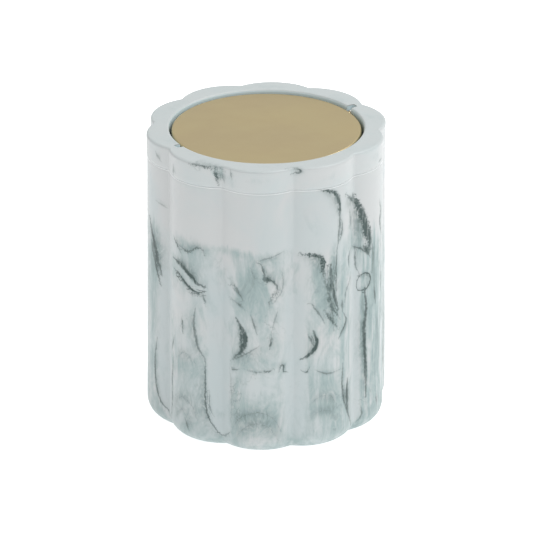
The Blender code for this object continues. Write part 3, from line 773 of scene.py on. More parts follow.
def marble(obj, unroll, veins, clouds, strips, base):
    """Writes where the veins, smoke and clouds lie as attributes of the mesh's points."""
    mesh = obj.data
    co = np.zeros(len(mesh.vertices) * 3, np.float32)
    mesh.vertices.foreach_get("co", co)
    run, up = unroll(co.reshape(-1, 3).astype(float))
    vein_run, (dark, ragged, smoke) = lay_veins(veins, run, up)
    cloud, flow = base((run / WALL_MM_PER_DEGREE) % 360, up)
    for spot in clouds:
        dx = wrapped(run - spot.angle * WALL_MM_PER_DEGREE) / spot.half_width
        dy = (up - spot.height) / spot.half_height
        cloud += spot.amount * np.exp(-(dx**2) - dy**2)
    pale = np.zeros(len(run))
    for strip in strips:
        dx = wrapped(run - strip.angle * WALL_MM_PER_DEGREE)
        dy = np.maximum(strip.bottom + strip.half_width - up, 0)
        inside = np.clip((strip.half_width - np.hypot(dx, dy)) / STRIP_FEATHER + 0.5, 0, 1)
        pale = np.maximum(pale, inside * np.clip((STRIP_TOP - up) / STRIP_FADE, 0, 1))
    cloud *= 1 - 0.6 * pale
    write(mesh, "vein_run", *vein_run)
    write(mesh, "vein_tone", dark, ragged, np.clip(smoke * (1 - 0.4 * pale), 0, 1))
    write(mesh, "marble_ground", np.clip(cloud, -0.5, 1), pale, flow * (1 - pale))


def write(mesh, name, *parts):
    """Stores three values at each point as one vector."""
    attribute = mesh.attributes.new(name, "FLOAT_VECTOR", "POINT")
    attribute.data.foreach_set("vector", np.stack(parts, 1).astype(np.float32).ravel())


def unroll_body(co):
    """Distance round the jar and height, in mm, carried on under the rounded edge of the base."""
    radius = np.hypot(co[:, 0], co[:, 1])
    run = np.degrees(np.arctan2(co[:, 1], co[:, 0])) * WALL_MM_PER_DEGREE
    under = np.where(co[:, 2] < BASE_EDGE, np.maximum(CREST_RADIUS - BASE_EDGE - radius, 0), 0)
    return run, (co[:, 2] - under) / MM


def unroll_collar(co):
    """Distance round the jar and height, in mm, carried on inwards over the flat top."""
    radius = np.hypot(co[:, 0], co[:, 1])
    run = np.degrees(np.arctan2(co[:, 1], co[:, 0])) * WALL_MM_PER_DEGREE
    over = np.maximum(VALLEY_RADIUS - radius, 0)
    return run, (co[:, 2] + over) / MM


def body_base(degrees, up):
    """How clouded the wall is before its own clouds are added, and how much it streams down."""
    crisp = np.zeros(len(up))
    for start, end in SWIRLED:
        crisp += np.clip((end - degrees) / 8, 0, 1) * np.clip((degrees - start) / 8, 0, 1)
    edge = BOUNDARY + 1.2 * np.sin(np.radians(degrees * 7)) + 3 * (1 - crisp)
    rise = np.clip((edge - up) / (4 + 22 * (1 - crisp)), 0, 1)
    ground = rise * (0.42 + 0.16 * np.clip((45 - up) / 35, 0, 1))
    flow = np.clip(0.25 + 0.75 * np.sin(np.radians(degrees * 2 + 5)) ** 2 - crisp, 0.1, 1)
    return ground, flow * np.clip((130 - up) / 20, 0, 1)


def collar_base(_degrees, up):
    return np.full(len(up), 0.02), np.full(len(up), 0.1)


# Finishes


class Finish:
    """A material with its shader, and short ways to add to its nodes."""

    def __init__(self, name, roughness, metallic=0.0, colour=(0.8, 0.8, 0.8), **sockets):
        self.material = bpy.data.materials.new(name)
        self.material.use_nodes = True
        self.tree = self.material.node_tree
        self.shader = self.tree.nodes["Principled BSDF"]
        self.shader.inputs["Base Color"].default_value = (*colour, 1)
        self.shader.inputs["Roughness"].default_value = roughness
        self.shader.inputs["Metallic"].default_value = metallic
        for socket, value in sockets.items():
            self.shader.inputs[socket.replace("_", " ")].default_value = value
        self.object = self.node("ShaderNodeTexCoord").outputs["Object"]

    def node(self, kind, **settings):
        made = self.tree.nodes.new(kind)
        for key, value in settings.items():
            setattr(made, key, value)
        return made

    def feed(self, socket, value):
        if isinstance(value, bpy.types.NodeSocket):
            self.tree.links.new(value, socket)
        else:
            socket.default_value = value

    def math(self, operation, *values):
        made = self.node("ShaderNodeMath", operation=operation)
        for socket, value in zip(made.inputs, values):
            self.feed(socket, value)
        return made.outputs[0]

    def times(self, first, second):
        return self.math("MULTIPLY", first, second)

    def less(self, first, second):
        return self.math("SUBTRACT", first, second)

    def plus(self, first, second):
        return self.math("ADD", first, second)

    def scaled(self, value, factor, added):
        return self.math("MULTIPLY_ADD", value, factor, added)

    def ramp(self, value, low, high, to_low=0.0, to_high=1.0):
        """A smooth step from one value to another."""
        made = self.node("ShaderNodeMapRange", interpolation_type="SMOOTHSTEP")
        for socket, given in zip(made.inputs, (value, low, high, to_low, to_high)):
            self.feed(socket, given)
        return made.outputs[0]

    def stretched(self, up):
        """Coordinates for a pattern that is drawn out along Z where `up` is below 1."""
        made = self.node("ShaderNodeMapping")
        self.feed(made.inputs["Vector"], self.object)
        made.inputs["Scale"].default_value = (1.0, 1.0, up)
        return made.outputs[0]

    def noise(self, scale, detail, roughness=0.5, distortion=0.0, vector=None):
        made = self.node("ShaderNodeTexNoise")
        self.feed(made.inputs["Vector"], vector or self.object)
        made.inputs["Scale"].default_value = scale
        made.inputs["Detail"].default_value = detail
        made.inputs["Roughness"].default_value = roughness
        made.inputs["Distortion"].default_value = distortion
        return made.outputs["Fac"]

    def mixed(self, factor, first, second):
        made = self.node("ShaderNodeMix", data_type="RGBA")
        self.feed(made.inputs[0], factor)
        for socket, value in ((made.inputs[6], first), (made.inputs[7], second)):
            self.feed(socket, (*value, 1) if isinstance(value, tuple) else value)
        return made.outputs[2]

    def attribute(self, name):
        parts = self.node("ShaderNodeSeparateXYZ")
        stored = self.node("ShaderNodeAttribute", attribute_name=name)
        self.feed(parts.inputs[0], stored.outputs["Vector"])
        return parts.outputs[:]

    def over(self, tone, amount, tint):
        """Lays a tint over the tone so far."""
        return self.mixed(amount, tone, tint)

    def bump(self, height, distance, strength):
        made = self.node("ShaderNodeBump")
        made.inputs["Distance"].default_value = distance
        made.inputs["Strength"].default_value = strength
        self.feed(made.inputs["Height"], height)
        self.feed(self.shader.inputs["Normal"], made.outputs[0])

    def colour(self, value):
        self.feed(self.shader.inputs["Base Color"], value)

    def roughness(self, value):
        self.feed(self.shader.inputs["Roughness"], value)


# Tints laid on the resin, from the palest to the darkest: the first three are painted light, the
# rest the resin's own marbling
SEAM_HIGHLIGHT_TINT = (0.85, 0.88, 0.88)
OPENING_LIGHT_TINT = (0.6, 0.74, 0.8)
LAND_LIGHT_TINT = (0.495, 0.545, 0.545)
STRIP_TINT = (0.375, 0.44, 0.45)
DEEP_TINT = (0.15, 0.21, 0.205)
LINE_TINT = (0.15, 0.2, 0.19)
HAIR_TINT = (0.13, 0.18, 0.17)
SMOKE_TINT = (0.1, 0.145, 0.14)
VEIN_TINT = (0.025, 0.052, 0.049)
SEAM_HIGHLIGHT_BAND = 0.85 * MM  # down from the seam, where a painted highlight makes the resin paler
LAND_DEPTH = (0.9 * MM, 0.1 * MM)  # under the top, where the painted light on the flat top comes in
OPENING_DEPTH = (0.3 * MM, 0.8 * MM)  # under the top, where the painted light on the opening's wall comes in
OPENING_REACH = (1.5 * MM, 0.5 * MM)  # past the grooves' ends, where that painted light stops


def cloud_tones(f, ground, flow, wisps, feather, streaked):
    """How far the ground is clouded, broken up by wisps and by streaks where it streams."""
    clouds = f.noise(62.0, 8.0, 0.66, 2.6, streaked)
    swirl = f.scaled(f.less(clouds, 0.5), 1.5, ground)
    swirl = f.scaled(f.less(wisps, 0.5), 0.55, swirl)
    streaks = f.noise(330.0, 3.0, 0.55, 0.6, f.stretched(0.09))
    stream = f.times(f.less(streaks, 0.44), f.times(flow, 2.6))
    stream = f.scaled(f.less(feather, 0.5), f.times(flow, 0.7), stream)
    swirl = f.plus(swirl, f.times(stream, f.ramp(ground, 0.0, 0.3)))
    return swirl, f.times(f.ramp(swirl, 0.12, 0.95), f.ramp(ground, 0.02, 0.2))


def thin_lines(f, pattern, middle, width, patches):
    """Lines where the pattern crosses its middle value, in some patches only."""
    band = f.math("ABSOLUTE", f.less(pattern, middle))
    return f.times(f.ramp(band, *width), patches)


def vein_core(f, wisps, feather):
    """The dark middle of a vein, with toothed edges, and a fibre in the widest ones."""
    across, near, width = f.attribute("vein_run")
    dark, ragged, smoke = f.attribute("vein_tone")
    shift = f.times(f.less(f.noise(420.0, 3.0, 0.6), 0.5), 1.6)
    saw = f.times(f.less(f.noise(1100.0, 2.0, 0.5), 0.5), f.times(ragged, 4.0))
    offset = f.math("ABSOLUTE", f.plus(across, f.plus(shift, saw)))
    core = f.ramp(offset, f.plus(width, 0.1), f.times(width, 0.35))
    limit = f.plus(width, f.plus(ragged, 0.25))
    core = f.times(core, f.ramp(f.less(near, limit), 0.5, 0.0))
    core = f.times(core, f.times(dark, f.ramp(wisps, 0.25, 0.55, 0.65, 1.15)))
    fibre = f.ramp(feather, 0.36, 0.52, 0.65, 1.1)
    core = f.times(core, f.scaled(f.less(fibre, 1.0), f.ramp(width, 0.3, 1.2), 1.0))
    return core, smoke


def cast_resin(name, light, warm, grey):
    """Light resin with teal-grey clouds, smoke and dark veins."""
    f = Finish(name, 0.4)
    ground, strip, flow = f.attribute("marble_ground")
    streaked = f.stretched(0.4)
    feather = f.noise(700.0, 3.0, 0.55, 0.4, f.stretched(0.08))
    wisps = f.noise(240.0, 5.0, 0.62, 2.4, f.stretched(0.55))
    swirl, clouded = cloud_tones(f, ground, flow, wisps, feather, streaked)

    # thin lines that follow the edges of the clouds
    folds = f.noise(48.0, 6.0, 0.6, 1.4, streaked)
    line = thin_lines(f, folds, 0.52, (0.012, 0.002), f.ramp(f.noise(38.0, 2.0), 0.5, 0.68))
    line = f.times(line, f.ramp(ground, 0.1, 0.4))

    # hair lines that run down where the resin streams
    runs = f.noise(190.0, 4.0, 0.6, 0.8, f.stretched(0.12))
    hair = thin_lines(f, runs, 0.5, (0.022, 0.004), f.ramp(f.noise(70.0, 2.0), 0.48, 0.62))
    hair = f.times(hair, f.times(flow, f.ramp(ground, 0.0, 0.35)))

    # smoke beside the veins, brushed downwards where the resin streams
    core, smoke = vein_core(f, wisps, feather)
    haze = f.times(smoke, f.ramp(wisps, 0.3, 0.65, 0.35, 1.25))
    haze = f.times(haze, f.scaled(f.less(feather, 0.5), f.scaled(flow, 1.4, 0.3), 0.95))

    tone = f.mixed(f.ramp(f.noise(24.0, 4.0, 0.55, 1.0), 0.36, 0.62), light, warm)
    tone = f.over(tone, f.times(strip, 0.5), STRIP_TINT)
    tone = f.over(tone, clouded, grey)
    tone = f.over(tone, f.ramp(swirl, 0.75, 1.45, 0.0, 0.75), DEEP_TINT)
    tone = f.over(tone, f.times(line, 0.5), LINE_TINT)
    tone = f.over(tone, f.times(hair, 0.5), HAIR_TINT)
    tone = f.over(tone, f.math("MINIMUM", haze, 0.9), SMOKE_TINT)
    tone = f.over(tone, f.math("MINIMUM", core, 1.0), VEIN_TINT)
    # painted light laid over the marbling, at the seam, on the flat top and in the opening
    f.colour(painted_light_places(f, tone))
    f.roughness(f.ramp(f.noise(500.0, 3.0), 0.3, 0.7, 0.36, 0.46))
    f.bump(f.noise(900.0, 4.0), 0.02 * MM, 0.35)
    return f.material


def painted_light_places(f, tone):
    """Paints light into the tone: a highlight on the edge under the seam, light on the flat top,
    and light on the opening's wall that lifts its shade.
    """
    parts = f.node("ShaderNodeSeparateXYZ")
    f.feed(parts.inputs[0], f.object)
    height = parts.outputs[2]
    # painted highlight: the jar's rounded shoulder under the seam made paler, as if catching light
    # from above
    edge = f.ramp(height, SEAM - SEAM_HIGHLIGHT_BAND, SEAM - 0.55 * SEAM_HIGHLIGHT_BAND)
    edge = f.times(edge, f.ramp(height, SEAM + 0.04 * MM, SEAM))
    tone = f.over(tone, f.times(edge, 0.6), SEAM_HIGHLIGHT_TINT)

    # painted light: the flat top made paler and cooler, for the light it catches from above
    land = f.ramp(height, *(HEIGHT - depth for depth in LAND_DEPTH))
    tone = f.over(tone, f.times(land, 0.6), LAND_LIGHT_TINT)

    # painted light: the opening's wall and grooves made paler and bluer, lifting their shade and
    # the gold light the lid throws on them
    radius = f.node("ShaderNodeVectorMath", operation="LENGTH")
    f.feed(radius.inputs[0], f.stretched(0.0))
    bore = f.ramp(radius.outputs[1], *(GROOVE_END + reach for reach in OPENING_REACH))
    bore = f.times(bore, f.ramp(height, *(HEIGHT - depth for depth in OPENING_DEPTH)))
    bore = f.times(bore, f.ramp(height, SEAM, SEAM + 1.0 * MM))
    return f.over(tone, f.times(bore, 0.85), OPENING_LIGHT_TINT)


def satin_gold(name, colour, deep, roughness):
    """Lacquered satin metal: a slow cast of a second tone, and a fine speck."""
    f = Finish(name, roughness, 1.0)
    cast = f.ramp(f.noise(30.0, 3.0), 0.3, 0.7)
    speck = f.ramp(f.noise(9000.0, 2.0), 0.3, 0.7)
    f.colour(f.mixed(f.scaled(speck, 0.25, f.times(cast, 0.75)), colour, deep))
    f.roughness(f.ramp(f.noise(60.0, 4.0), 0.3, 0.7, roughness - 0.03, roughness + 0.03))
    f.bump(f.noise(7000.0, 3.0), 0.01 * MM, 0.3)
    return f.material


def plated_steel(name, colour, stained, roughness):
    """Zinc plating with its cloudy stains."""
    f = Finish(name, roughness, 1.0)
    f.colour(f.mixed(f.ramp(f.noise(350.0, 4.0), 0.35, 0.7), colour, stained))
    f.roughness(f.ramp(f.noise(900.0, 3.0), 0.3, 0.7, roughness - 0.06, roughness + 0.08))
    f.bump(f.noise(2500.0, 3.0), 0.015 * MM, 0.4)
    return f.material


def moulding(name, colour, worn, roughness, grain):
    """Moulded plastic with a spark texture."""
    f = Finish(name, roughness)
    f.colour(f.mixed(f.ramp(f.noise(180.0, 4.0), 0.35, 0.7), colour, worn))
    f.roughness(f.ramp(f.noise(1200.0, 2.0), 0.3, 0.7, roughness - 0.05, roughness + 0.06))
    f.bump(f.noise(grain, 3.0, 0.6), 0.03 * MM, 0.5)
    return f.material


# Pieces


def jar_body(resin):
    inner_floor = BODY_BOTTOM + FLOOR_THICKNESS
    sections = [flat_start(fluted, BASE_EDGE, BODY_BOTTOM)]
    sections += rounded(fluted, BASE_EDGE, BODY_BOTTOM, rising=True, steps=BASE_STEPS)
    sections += rows(fluted(0), BODY_BOTTOM + BASE_EDGE, SEAM - SHOULDER_EDGE, WALL_ROWS)
    shoulder = {"edge": SHOULDER_EDGE, "height": SEAM, "rising": False, "steps": SHOULDER_STEPS}
    sections += reversed(rounded(fluted, **shoulder))
    sections += rounded(round_wall(MOUTH_RADIUS), outward=False, **shoulder)
    sections += rows(turned(MOUTH_RADIUS), SEAM, inner_floor + FLOOR_FILLET, MOUTH_ROWS)
    for step in range(FILLET_STEPS + 1):
        turn = step / FILLET_STEPS * math.pi / 2
        radius = MOUTH_RADIUS - FLOOR_FILLET * (1 - math.cos(turn))
        sections.append((turned(radius), inner_floor + FLOOR_FILLET * (1 - math.sin(turn))))
    sections.append((turned(MOUTH_RADIUS - FLOOR_FILLET - FLAT_MARGIN), inner_floor))
    body = as_piece("marbled_jar", loft(sections, AROUND), resin)
    pocket_radius, pocket_top = FOOT_RADIUS + GAP, FOOT_THICKNESS + GAP
    cut(body, rods(foot_places(), pocket_radius, -FOOT_STAND, pocket_top, FOOT_ROUND))
    return place(body, "jar", "jar_body")


def foot_places():
    turns = [math.tau * (index + 0.5) / FOOT_COUNT for index in range(FOOT_COUNT)]
    return [(FOOT_CIRCLE * math.cos(turn), FOOT_CIRCLE * math.sin(turn)) for turn in turns]


def collar_ring(resin):
    groove_top = -SEAL_GROOVE_TOP
    groove_low = groove_top - SEAL_GROOVE_WIDTH
    opening = round_wall(OPENING_RADIUS)
    sections = rounded(collar_wall, COLLAR_LOW_EDGE, SEAM_GAP, rising=True, steps=3)
    low, high = SEAM_GAP + COLLAR_LOW_EDGE, COLLAR_HEIGHT - COLLAR_TOP_EDGE
    sections += rows(collar_wall(0), low, high, COLLAR_ROWS)
    top_edge = rounded(collar_wall, COLLAR_TOP_EDGE, COLLAR_HEIGHT, rising=False, steps=8)
    sections += [*reversed(top_edge), flat_start(collar_wall, COLLAR_TOP_EDGE, COLLAR_HEIGHT)]
    inner = OPENING_RADIUS + OPENING_EDGE + FLAT_MARGIN
    for share in LAND_RINGS:
        sections.append((between(collar_wall(COLLAR_TOP_EDGE), inner, share), COLLAR_HEIGHT))
    sections.append((turned(inner), COLLAR_HEIGHT))
    sections += rounded(opening, OPENING_EDGE, COLLAR_HEIGHT, rising=False, steps=6, outward=False)
    below = [COLLAR_HEIGHT - OPENING_EDGE - OPENING_ROW * (row + 1) for row in range(OPENING_ROWS)]
    spigot = [
        *((OPENING_RADIUS, height) for height in below),
        (OPENING_RADIUS, -SPIGOT_DEPTH),
        (SPIGOT_RADIUS - SPIGOT_EDGE, -SPIGOT_DEPTH),
        (SPIGOT_RADIUS, -SPIGOT_DEPTH + SPIGOT_EDGE),
        (SPIGOT_RADIUS, groove_low),
        (SEAL_GROOVE_RADIUS, groove_low),
        (SEAL_GROOVE_RADIUS, groove_top),
        (SPIGOT_RADIUS, groove_top),
        (SPIGOT_RADIUS, SEAM_GAP),
    ]
    sections += [(turned(radius), height) for radius, height in spigot]
    ring = as_piece("marbled_collar", loft(sections, AROUND, closed=True, lift=SEAM), resin)
    open_to = 2 * PIVOT_DROP
    start = OPENING_RADIUS - 2 * GROOVE_HALF_WIDTH
    grooves = trough(GROOVE_HALF_WIDTH, start, GROOVE_END, open_to)
    blind_end = [
        edge
        for edge in grooves.edges
        if all(vert.co.x > OPENING_RADIUS for vert in edge.verts)
        and any(vert.co.z < open_to for vert in edge.verts)
    ]
    bevel(grooves, blind_end, GROOVE_END_ROUND, GROOVE_END_STEPS)
    cut(ring, both_ways(raised(grooves)))
    return place(ring, "collar", "collar_ring")


def between(outer, inner, share):
    """A wall this share of the way from a fluted wall to a round one."""

    def wall(angle, height):
        return outer(angle, height) * (1 - share) + inner * share

    return wall


def lid_plate(gold):
    """A shallow drawn cap with a turned-down skirt, notched for the pins."""
    outside = round_wall(LID_RADIUS)
    inside = round_wall(LID_RADIUS - LID_SKIN)
    skirt = LID_TOP - LID_SKIRT
    sections = [flat_start(outside, LID_EDGE, LID_TOP)]
    sections += rounded(outside, LID_EDGE, LID_TOP, rising=False, steps=8)
    sections += [(outside(0), skirt + SKIRT_EDGE), (outside(SKIRT_EDGE), skirt)]
    sections += [(inside(-SKIRT_EDGE), skirt), (inside(0), skirt + SKIRT_EDGE)]
    sections += reversed(rounded(inside, LID_INNER_EDGE, LID_TOP - LID_SKIN, rising=False, steps=4))
    sections += [flat_start(inside, LID_INNER_EDGE, LID_TOP - LID_SKIN)]
    plate = as_piece("gold_lid", loft(sections, ROUND, lift=PIVOT_HEIGHT), gold)
    notch = trough(PIN_NOTCH, LID_RADIUS - 3 * LID_SKIN, LID_RADIUS + LID_SKIN, -LID_SKIRT)
    cut(plate, both_ways(raised(notch)))
    return place(plate, "lid", "lid_plate")


def rod(radius, length, edge, around):
    return loft(barrel(round_wall(radius), length, edge, ROD_STEPS), around)


def pivot(side, steel, nylon):
    pin = rod(PIN_RADIUS, PIN_OUTER_END - PIN_INNER_END, PIN_END_EDGE, PIN_ROUND)
    lay_along_x(pin, side, PIN_INNER_END)
    place(as_piece(f"hinge_pin_{side}", pin, steel), "lid", f"pivot_pin_{side}")
    outside = barrel(round_wall(BUSH_RADIUS), BUSH_LENGTH, BUSH_EDGE, BUSH_STEPS)
    bore = barrel(round_wall(BUSH_BORE), BUSH_LENGTH, BUSH_EDGE, BUSH_STEPS, outward=False)
    sleeve = loft([*outside, *reversed(bore)], PIN_ROUND, closed=True)
    lay_along_x(sleeve, side, BUSH_INNER_END)
    sleeve = as_piece(f"hinge_sleeve_{side}", sleeve, nylon)
    place(sleeve, "lid_bushes", f"pivot_bush_{side}")


def clip_screw_places():
    return [(x, y) for x in (-CLIP_CENTRE, CLIP_CENTRE) for y in (-RAIL_OFFSET, RAIL_OFFSET)]


def weight_screw_places():
    return [(-WEIGHT_SCREW_OFFSET, 0), (WEIGHT_SCREW_OFFSET, 0)]


def lid_carrier(plastic):
    """The moulded underplate, with the rails, bosses and slots that take the pins."""
    skin_low = CARRIER_TOP - CARRIER_SKIN
    outer, inner = round_wall(CARRIER_RADIUS), round_wall(CARRIER_RADIUS - CARRIER_RIM)
    sections = [flat_start(outer, CARRIER_EDGE, CARRIER_TOP)]
    sections += rounded(outer, CARRIER_EDGE, CARRIER_TOP, rising=False, steps=3)
    sections += reversed(rounded(outer, CARRIER_EDGE, CARRIER_BOTTOM, rising=True, steps=3))
    rim = rounded(inner, CARRIER_EDGE, CARRIER_BOTTOM, rising=True, steps=3, outward=False)
    sections += [*rim, *reversed(rounded(inner, CARRIER_EDGE, skin_low, rising=False, steps=3))]
    sections += [flat_start(inner, CARRIER_EDGE, skin_low)]
    carrier = as_piece("lid_underplate", loft(sections, ROUND, lift=PIVOT_HEIGHT), plastic)
    root = skin_low + CARRIER_SKIN / 2
    half = RAIL_WIDTH / 2
    for y in (-RAIL_OFFSET, RAIL_OFFSET):
        rail = box((-RAIL_END, y - half, RAIL_BOTTOM), (RAIL_END, y + half, root))
        cut(carrier, raised(rail), operation="UNION")
    for places, radius, low in (
        (clip_screw_places(), CLIP_BOSS_RADIUS, CLIP_BOSS_BOTTOM),
        (weight_screw_places(), WEIGHT_BOSS_RADIUS, RAIL_BOTTOM),
    ):
        cut(carrier, raised(rods(places, radius, low, root, PIN_ROUND)), operation="UNION")
    slot = box((PIN_SLOT_START, -PIN_NOTCH, CLIP_TOP), (LID_RADIUS, PIN_NOTCH, LID_TOP))
    cut(carrier, raised(both_ways(slot)))
    for places, radius, low in (
        (clip_screw_places(), CLIP_HOLE, 2 * CLIP_BOSS_BOTTOM),
        (weight_screw_places(), WEIGHT_HOLE, 2 * RAIL_BOTTOM),
    ):
        cut(carrier, raised(rods(places, radius, low, PILOT_END, SCREW_ROUND)))
    return place(carrier, "lid", "lid_carrier")


def pin_clip(side, plastic):
    """A saddle under one pin: a flat plate with a tongue that reaches up between its screws."""
    centre = CLIP_CENTRE if side == "right" else -CLIP_CENTRE
    tongue_top = -PIN_RADIUS - GAP
    low = CLIP_TOP - CLIP_PLATE
    profile = [
        (-CLIP_HALF_WIDTH, low),
        (CLIP_HALF_WIDTH, low),
        (CLIP_HALF_WIDTH, CLIP_TOP),
        (CLIP_TONGUE, CLIP_TOP),
        (CLIP_TONGUE, tongue_top),
        (-CLIP_TONGUE, tongue_top),
        (-CLIP_TONGUE, CLIP_TOP),
        (-CLIP_HALF_WIDTH, CLIP_TOP),
    ]
    bm = bar(centre - CLIP_LENGTH / 2, CLIP_LENGTH, profile)
    bevel(bm, upright_edges(bm, reach=2 * CLIP_TONGUE), CLIP_CORNER, CLIP_CORNER_STEPS)
    clip = as_piece(f"pin_saddle_{side}", raised(bm), plastic)
    holes = [(centre, -RAIL_OFFSET), (centre, RAIL_OFFSET)]
    drilled = rods(holes, CLIP_HOLE, low - CLIP_PLATE, CLIP_TOP + CLIP_PLATE, SCREW_ROUND)
    cut(clip, raised(drilled))
    soften(clip, CLIP_SOFT_EDGE)
    return place(clip, "lid", f"pin_clip_{side}")


def counterweight(steel):
    half_length, half_width = WEIGHT_LENGTH / 2, WEIGHT_WIDTH / 2
    low = WEIGHT_TOP - WEIGHT_HEIGHT
    bm = box((-half_length, -half_width, low), (half_length, half_width, WEIGHT_TOP))
    bevel(bm, upright_edges(bm), WEIGHT_CORNER, WEIGHT_CORNER_STEPS)
    level = [e for e in bm.edges if abs(e.verts[0].co.z - e.verts[1].co.z) < MERGE_DISTANCE]
    bevel(bm, level, WEIGHT_EDGE, WEIGHT_EDGE_STEPS)
    block = as_piece("steel_weight", raised(bm), steel)
    seat = low + WEIGHT_COUNTERBORE_DEPTH
    for radius, top in ((WEIGHT_HOLE, 0), (WEIGHT_COUNTERBORE, seat)):
        cut(block, raised(rods(weight_screw_places(), radius, 2 * low, top, PIN_ROUND)))
    soften(block, WEIGHT_SOFT_EDGE)
    return place(block, "lid", "counterweight")


def screw(name, node, centre, seat, shank, head, head_height, steel):
    """A pan-head screw that points up, its head under `seat`, with a cross recess and a thread."""
    low = seat - head_height
    rounding = head_height * HEAD_ROUNDING
    sections = rounded(round_wall(head), rounding, low, rising=True, steps=6)
    outside = [(head, seat - HEAD_EDGE), (head - HEAD_EDGE, seat), (shank, seat)]
    tip = SCREW_TIP - shank
    for turn in range(int((tip - seat) / THREAD_PITCH)):
        z = seat + turn * THREAD_PITCH
        outside.append((shank - THREAD_DEPTH, z + THREAD_ROOT * THREAD_PITCH))
        outside.append((shank, z + THREAD_CREST * THREAD_PITCH))
    outside += [(shank, tip), (shank * SCREW_POINT, SCREW_TIP)]
    sections += [(turned(radius), height) for radius, height in outside]
    obj = as_piece(name, raised(loft(sections, SCREW_ROUND)), steel)
    reach, width = head * RECESS_HALF_LENGTH, head * RECESS_HALF_WIDTH
    top = low + head_height * RECESS_DEPTH
    for x, y in ((reach, width), (width, reach)):
        arm = box((-x, -y, low - head_height), (x, y, top))
        deep = [vert for vert in arm.verts if vert.co.z > low]
        bmesh.ops.scale(arm, verts=deep, vec=(RECESS_TAPER, RECESS_TAPER, 1))
        cut(obj, raised(arm))
    obj.data.transform(Matrix.Translation((*centre, 0)))
    return place(obj, "lid", node)


def lid_screws(steel):
    seat = CLIP_TOP - CLIP_PLATE - GAP
    sizes = (CLIP_SCREW_SHANK, CLIP_SCREW_HEAD, CLIP_SCREW_HEAD_HEIGHT)
    for x, y in clip_screw_places():
        where = f"{'left' if x < 0 else 'right'}_{'front' if y < 0 else 'back'}"
        screw(f"saddle_screw_{where}", f"clip_screw_{where}", (x, y), seat, *sizes, steel)
    seat = WEIGHT_TOP - WEIGHT_HEIGHT + WEIGHT_COUNTERBORE_DEPTH - GAP
    sizes = (WEIGHT_SCREW_SHANK, WEIGHT_SCREW_HEAD, WEIGHT_SCREW_HEAD_HEIGHT)
    for x, y in weight_screw_places():
        where = "left" if x < 0 else "right"
        screw(f"steel_weight_screw_{where}", f"weight_screw_{where}", (x, y), seat, *sizes, steel)


def feet(rubber):
    for index, (x, y) in enumerate(foot_places(), start=1):
        pad = rod(FOOT_RADIUS, FOOT_THICKNESS, FOOT_EDGE, FOOT_ROUND)
        bmesh.ops.translate(pad, verts=pad.verts, vec=(x, y, 0))
        pad = as_piece(f"bumper_{index}", pad, rubber)
        place(pad, "jar", f"foot_pad_{index}")


def collar_seal(rubber):
    """A ring with two soft lips."""
    inner = SEAL_GROOVE_RADIUS + GAP
    high = -SEAL_GROOVE_TOP - GAP
    low = -SEAL_GROOVE_TOP - SEAL_GROOVE_WIDTH + GAP
    sections = [(turned(inner), high), (turned(inner), low)]
    for step in range(SEAL_STEPS + 1):
        share = step / SEAL_STEPS
        lip = abs(math.sin(share * math.tau)) ** 0.5
        radius = SEAL_OUTER_RADIUS - SEAL_LIP * (1 - lip)
        sections.append((turned(radius), low + (high - low) * share))
    ring = as_piece("lip_seal", loft(sections, ROUND, closed=True, lift=SEAM), rubber)
    return place(ring, "collar", "collar_seal")


jar_resin = cast_resin(
    "jar_resin",
    light=(0.43, 0.475, 0.48),
    warm=(0.468, 0.485, 0.486),
    grey=(0.27, 0.345, 0.345),
)
collar_resin = cast_resin(
    "collar_resin",
    light=(0.445, 0.495, 0.5),
    warm=(0.48, 0.502, 0.503),
    grey=(0.3, 0.375, 0.375),
)
gold = satin_gold("satin_gold", (0.61, 0.505, 0.27), (0.565, 0.46, 0.265), 0.36)
pin_gold = satin_gold("gold_pin", (0.5, 0.41, 0.25), (0.46, 0.37, 0.22), 0.28)
zinc = plated_steel("zinc_steel", (0.5, 0.51, 0.53), (0.42, 0.44, 0.47), 0.36)
black = moulding("black_moulding", (0.035, 0.035, 0.038), (0.05, 0.05, 0.053), 0.5, 1800.0)
nylon = moulding("natural_nylon", (0.72, 0.71, 0.66), (0.66, 0.65, 0.6), 0.42, 2200.0)
silicone = moulding("clear_silicone", (0.62, 0.63, 0.63), (0.55, 0.56, 0.56), 0.48, 900.0)

draw = random.Random(41)
veins, clouds, strips = random_marbling(draw)
jar = jar_body(jar_resin)
marble(jar, unroll_body, BODY_VEINS + veins, BODY_CLOUDS + clouds, BODY_STRIPS + strips, body_base)
collar = collar_ring(collar_resin)
marble(collar, unroll_collar, COLLAR_VEINS, COLLAR_CLOUDS, [], collar_base)
lid_plate(gold)
for side in ("left", "right"):
    pivot(side, pin_gold, nylon)
    pin_clip(side, black)
lid_carrier(black)
counterweight(zinc)
lid_screws(zinc)
feet(silicone)
collar_seal(silicone)


# Stage, light and camera


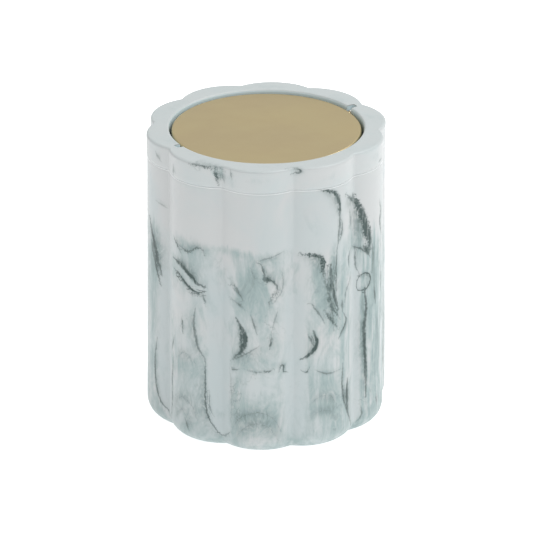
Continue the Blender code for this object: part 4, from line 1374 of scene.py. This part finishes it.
CAMERA_HEADING = math.radians(-121.47)
CAMERA_ELEVATION = math.radians(23.66)
CAMERA_DISTANCE = 2.4
AIM = Vector((0, 0, 0.07685))
LENS = 323.3
SENSOR_WIDTH = 36.0
FLOOR_HALF_SIZE = 4.0
FLOOR_GLOW = 0.72
WORLD_STRENGTH = 0.7
WHITE = (1, 1, 1, 1)
Lamp = namedtuple("Lamp", "name position width watts")
LAMPS = [Lamp("key", (0.15, -1.85, 1.3), 1.4, 5.2), Lamp("top", (0.55, -0.15, 1.2), 0.9, 8.2)]


def add_to_scene(name, data, position, forward):
    """A lamp or a camera that looks along `forward`."""
    obj = bpy.data.objects.new(name, data)
    bpy.context.scene.collection.objects.link(obj)
    obj.location = position
    obj.rotation_euler = forward.to_track_quat("-Z", "Y").to_euler()
    return obj


def studio_floor():
    bm = bmesh.new()
    bmesh.ops.create_grid(bm, x_segments=1, y_segments=1, size=FLOOR_HALF_SIZE)
    glow = {"Emission_Color": WHITE, "Emission_Strength": FLOOR_GLOW}
    f = Finish("studio_floor", 0.9, colour=(0.85, 0.85, 0.85), **glow)
    as_piece("floor", bm, f.material)


def area_light(lamp):
    data = bpy.data.lights.new(lamp.name, "AREA")
    data.shape = "DISK"
    data.size = lamp.width
    data.energy = lamp.watts
    obj = add_to_scene(lamp.name, data, lamp.position, AIM - Vector(lamp.position))
    obj.visible_camera = False


def camera():
    data = bpy.data.cameras.new("camera")
    data.lens = LENS
    data.sensor_width = SENSOR_WIDTH
    level, up = math.cos(CAMERA_ELEVATION), math.sin(CAMERA_ELEVATION)
    back = Vector((level * math.cos(CAMERA_HEADING), level * math.sin(CAMERA_HEADING), up))
    position = AIM + back * CAMERA_DISTANCE
    bpy.context.scene.camera = add_to_scene("camera", data, position, -back)


def world():
    made = bpy.data.worlds.new("studio")
    made.use_nodes = True
    background = made.node_tree.nodes["Background"]
    background.inputs["Color"].default_value = WHITE
    background.inputs["Strength"].default_value = WORLD_STRENGTH
    bpy.context.scene.world = made


studio_floor()
world()
for lamp in LAMPS:
    area_light(lamp)
camera()
bpy.context.scene.view_settings.view_transform = "Standard"
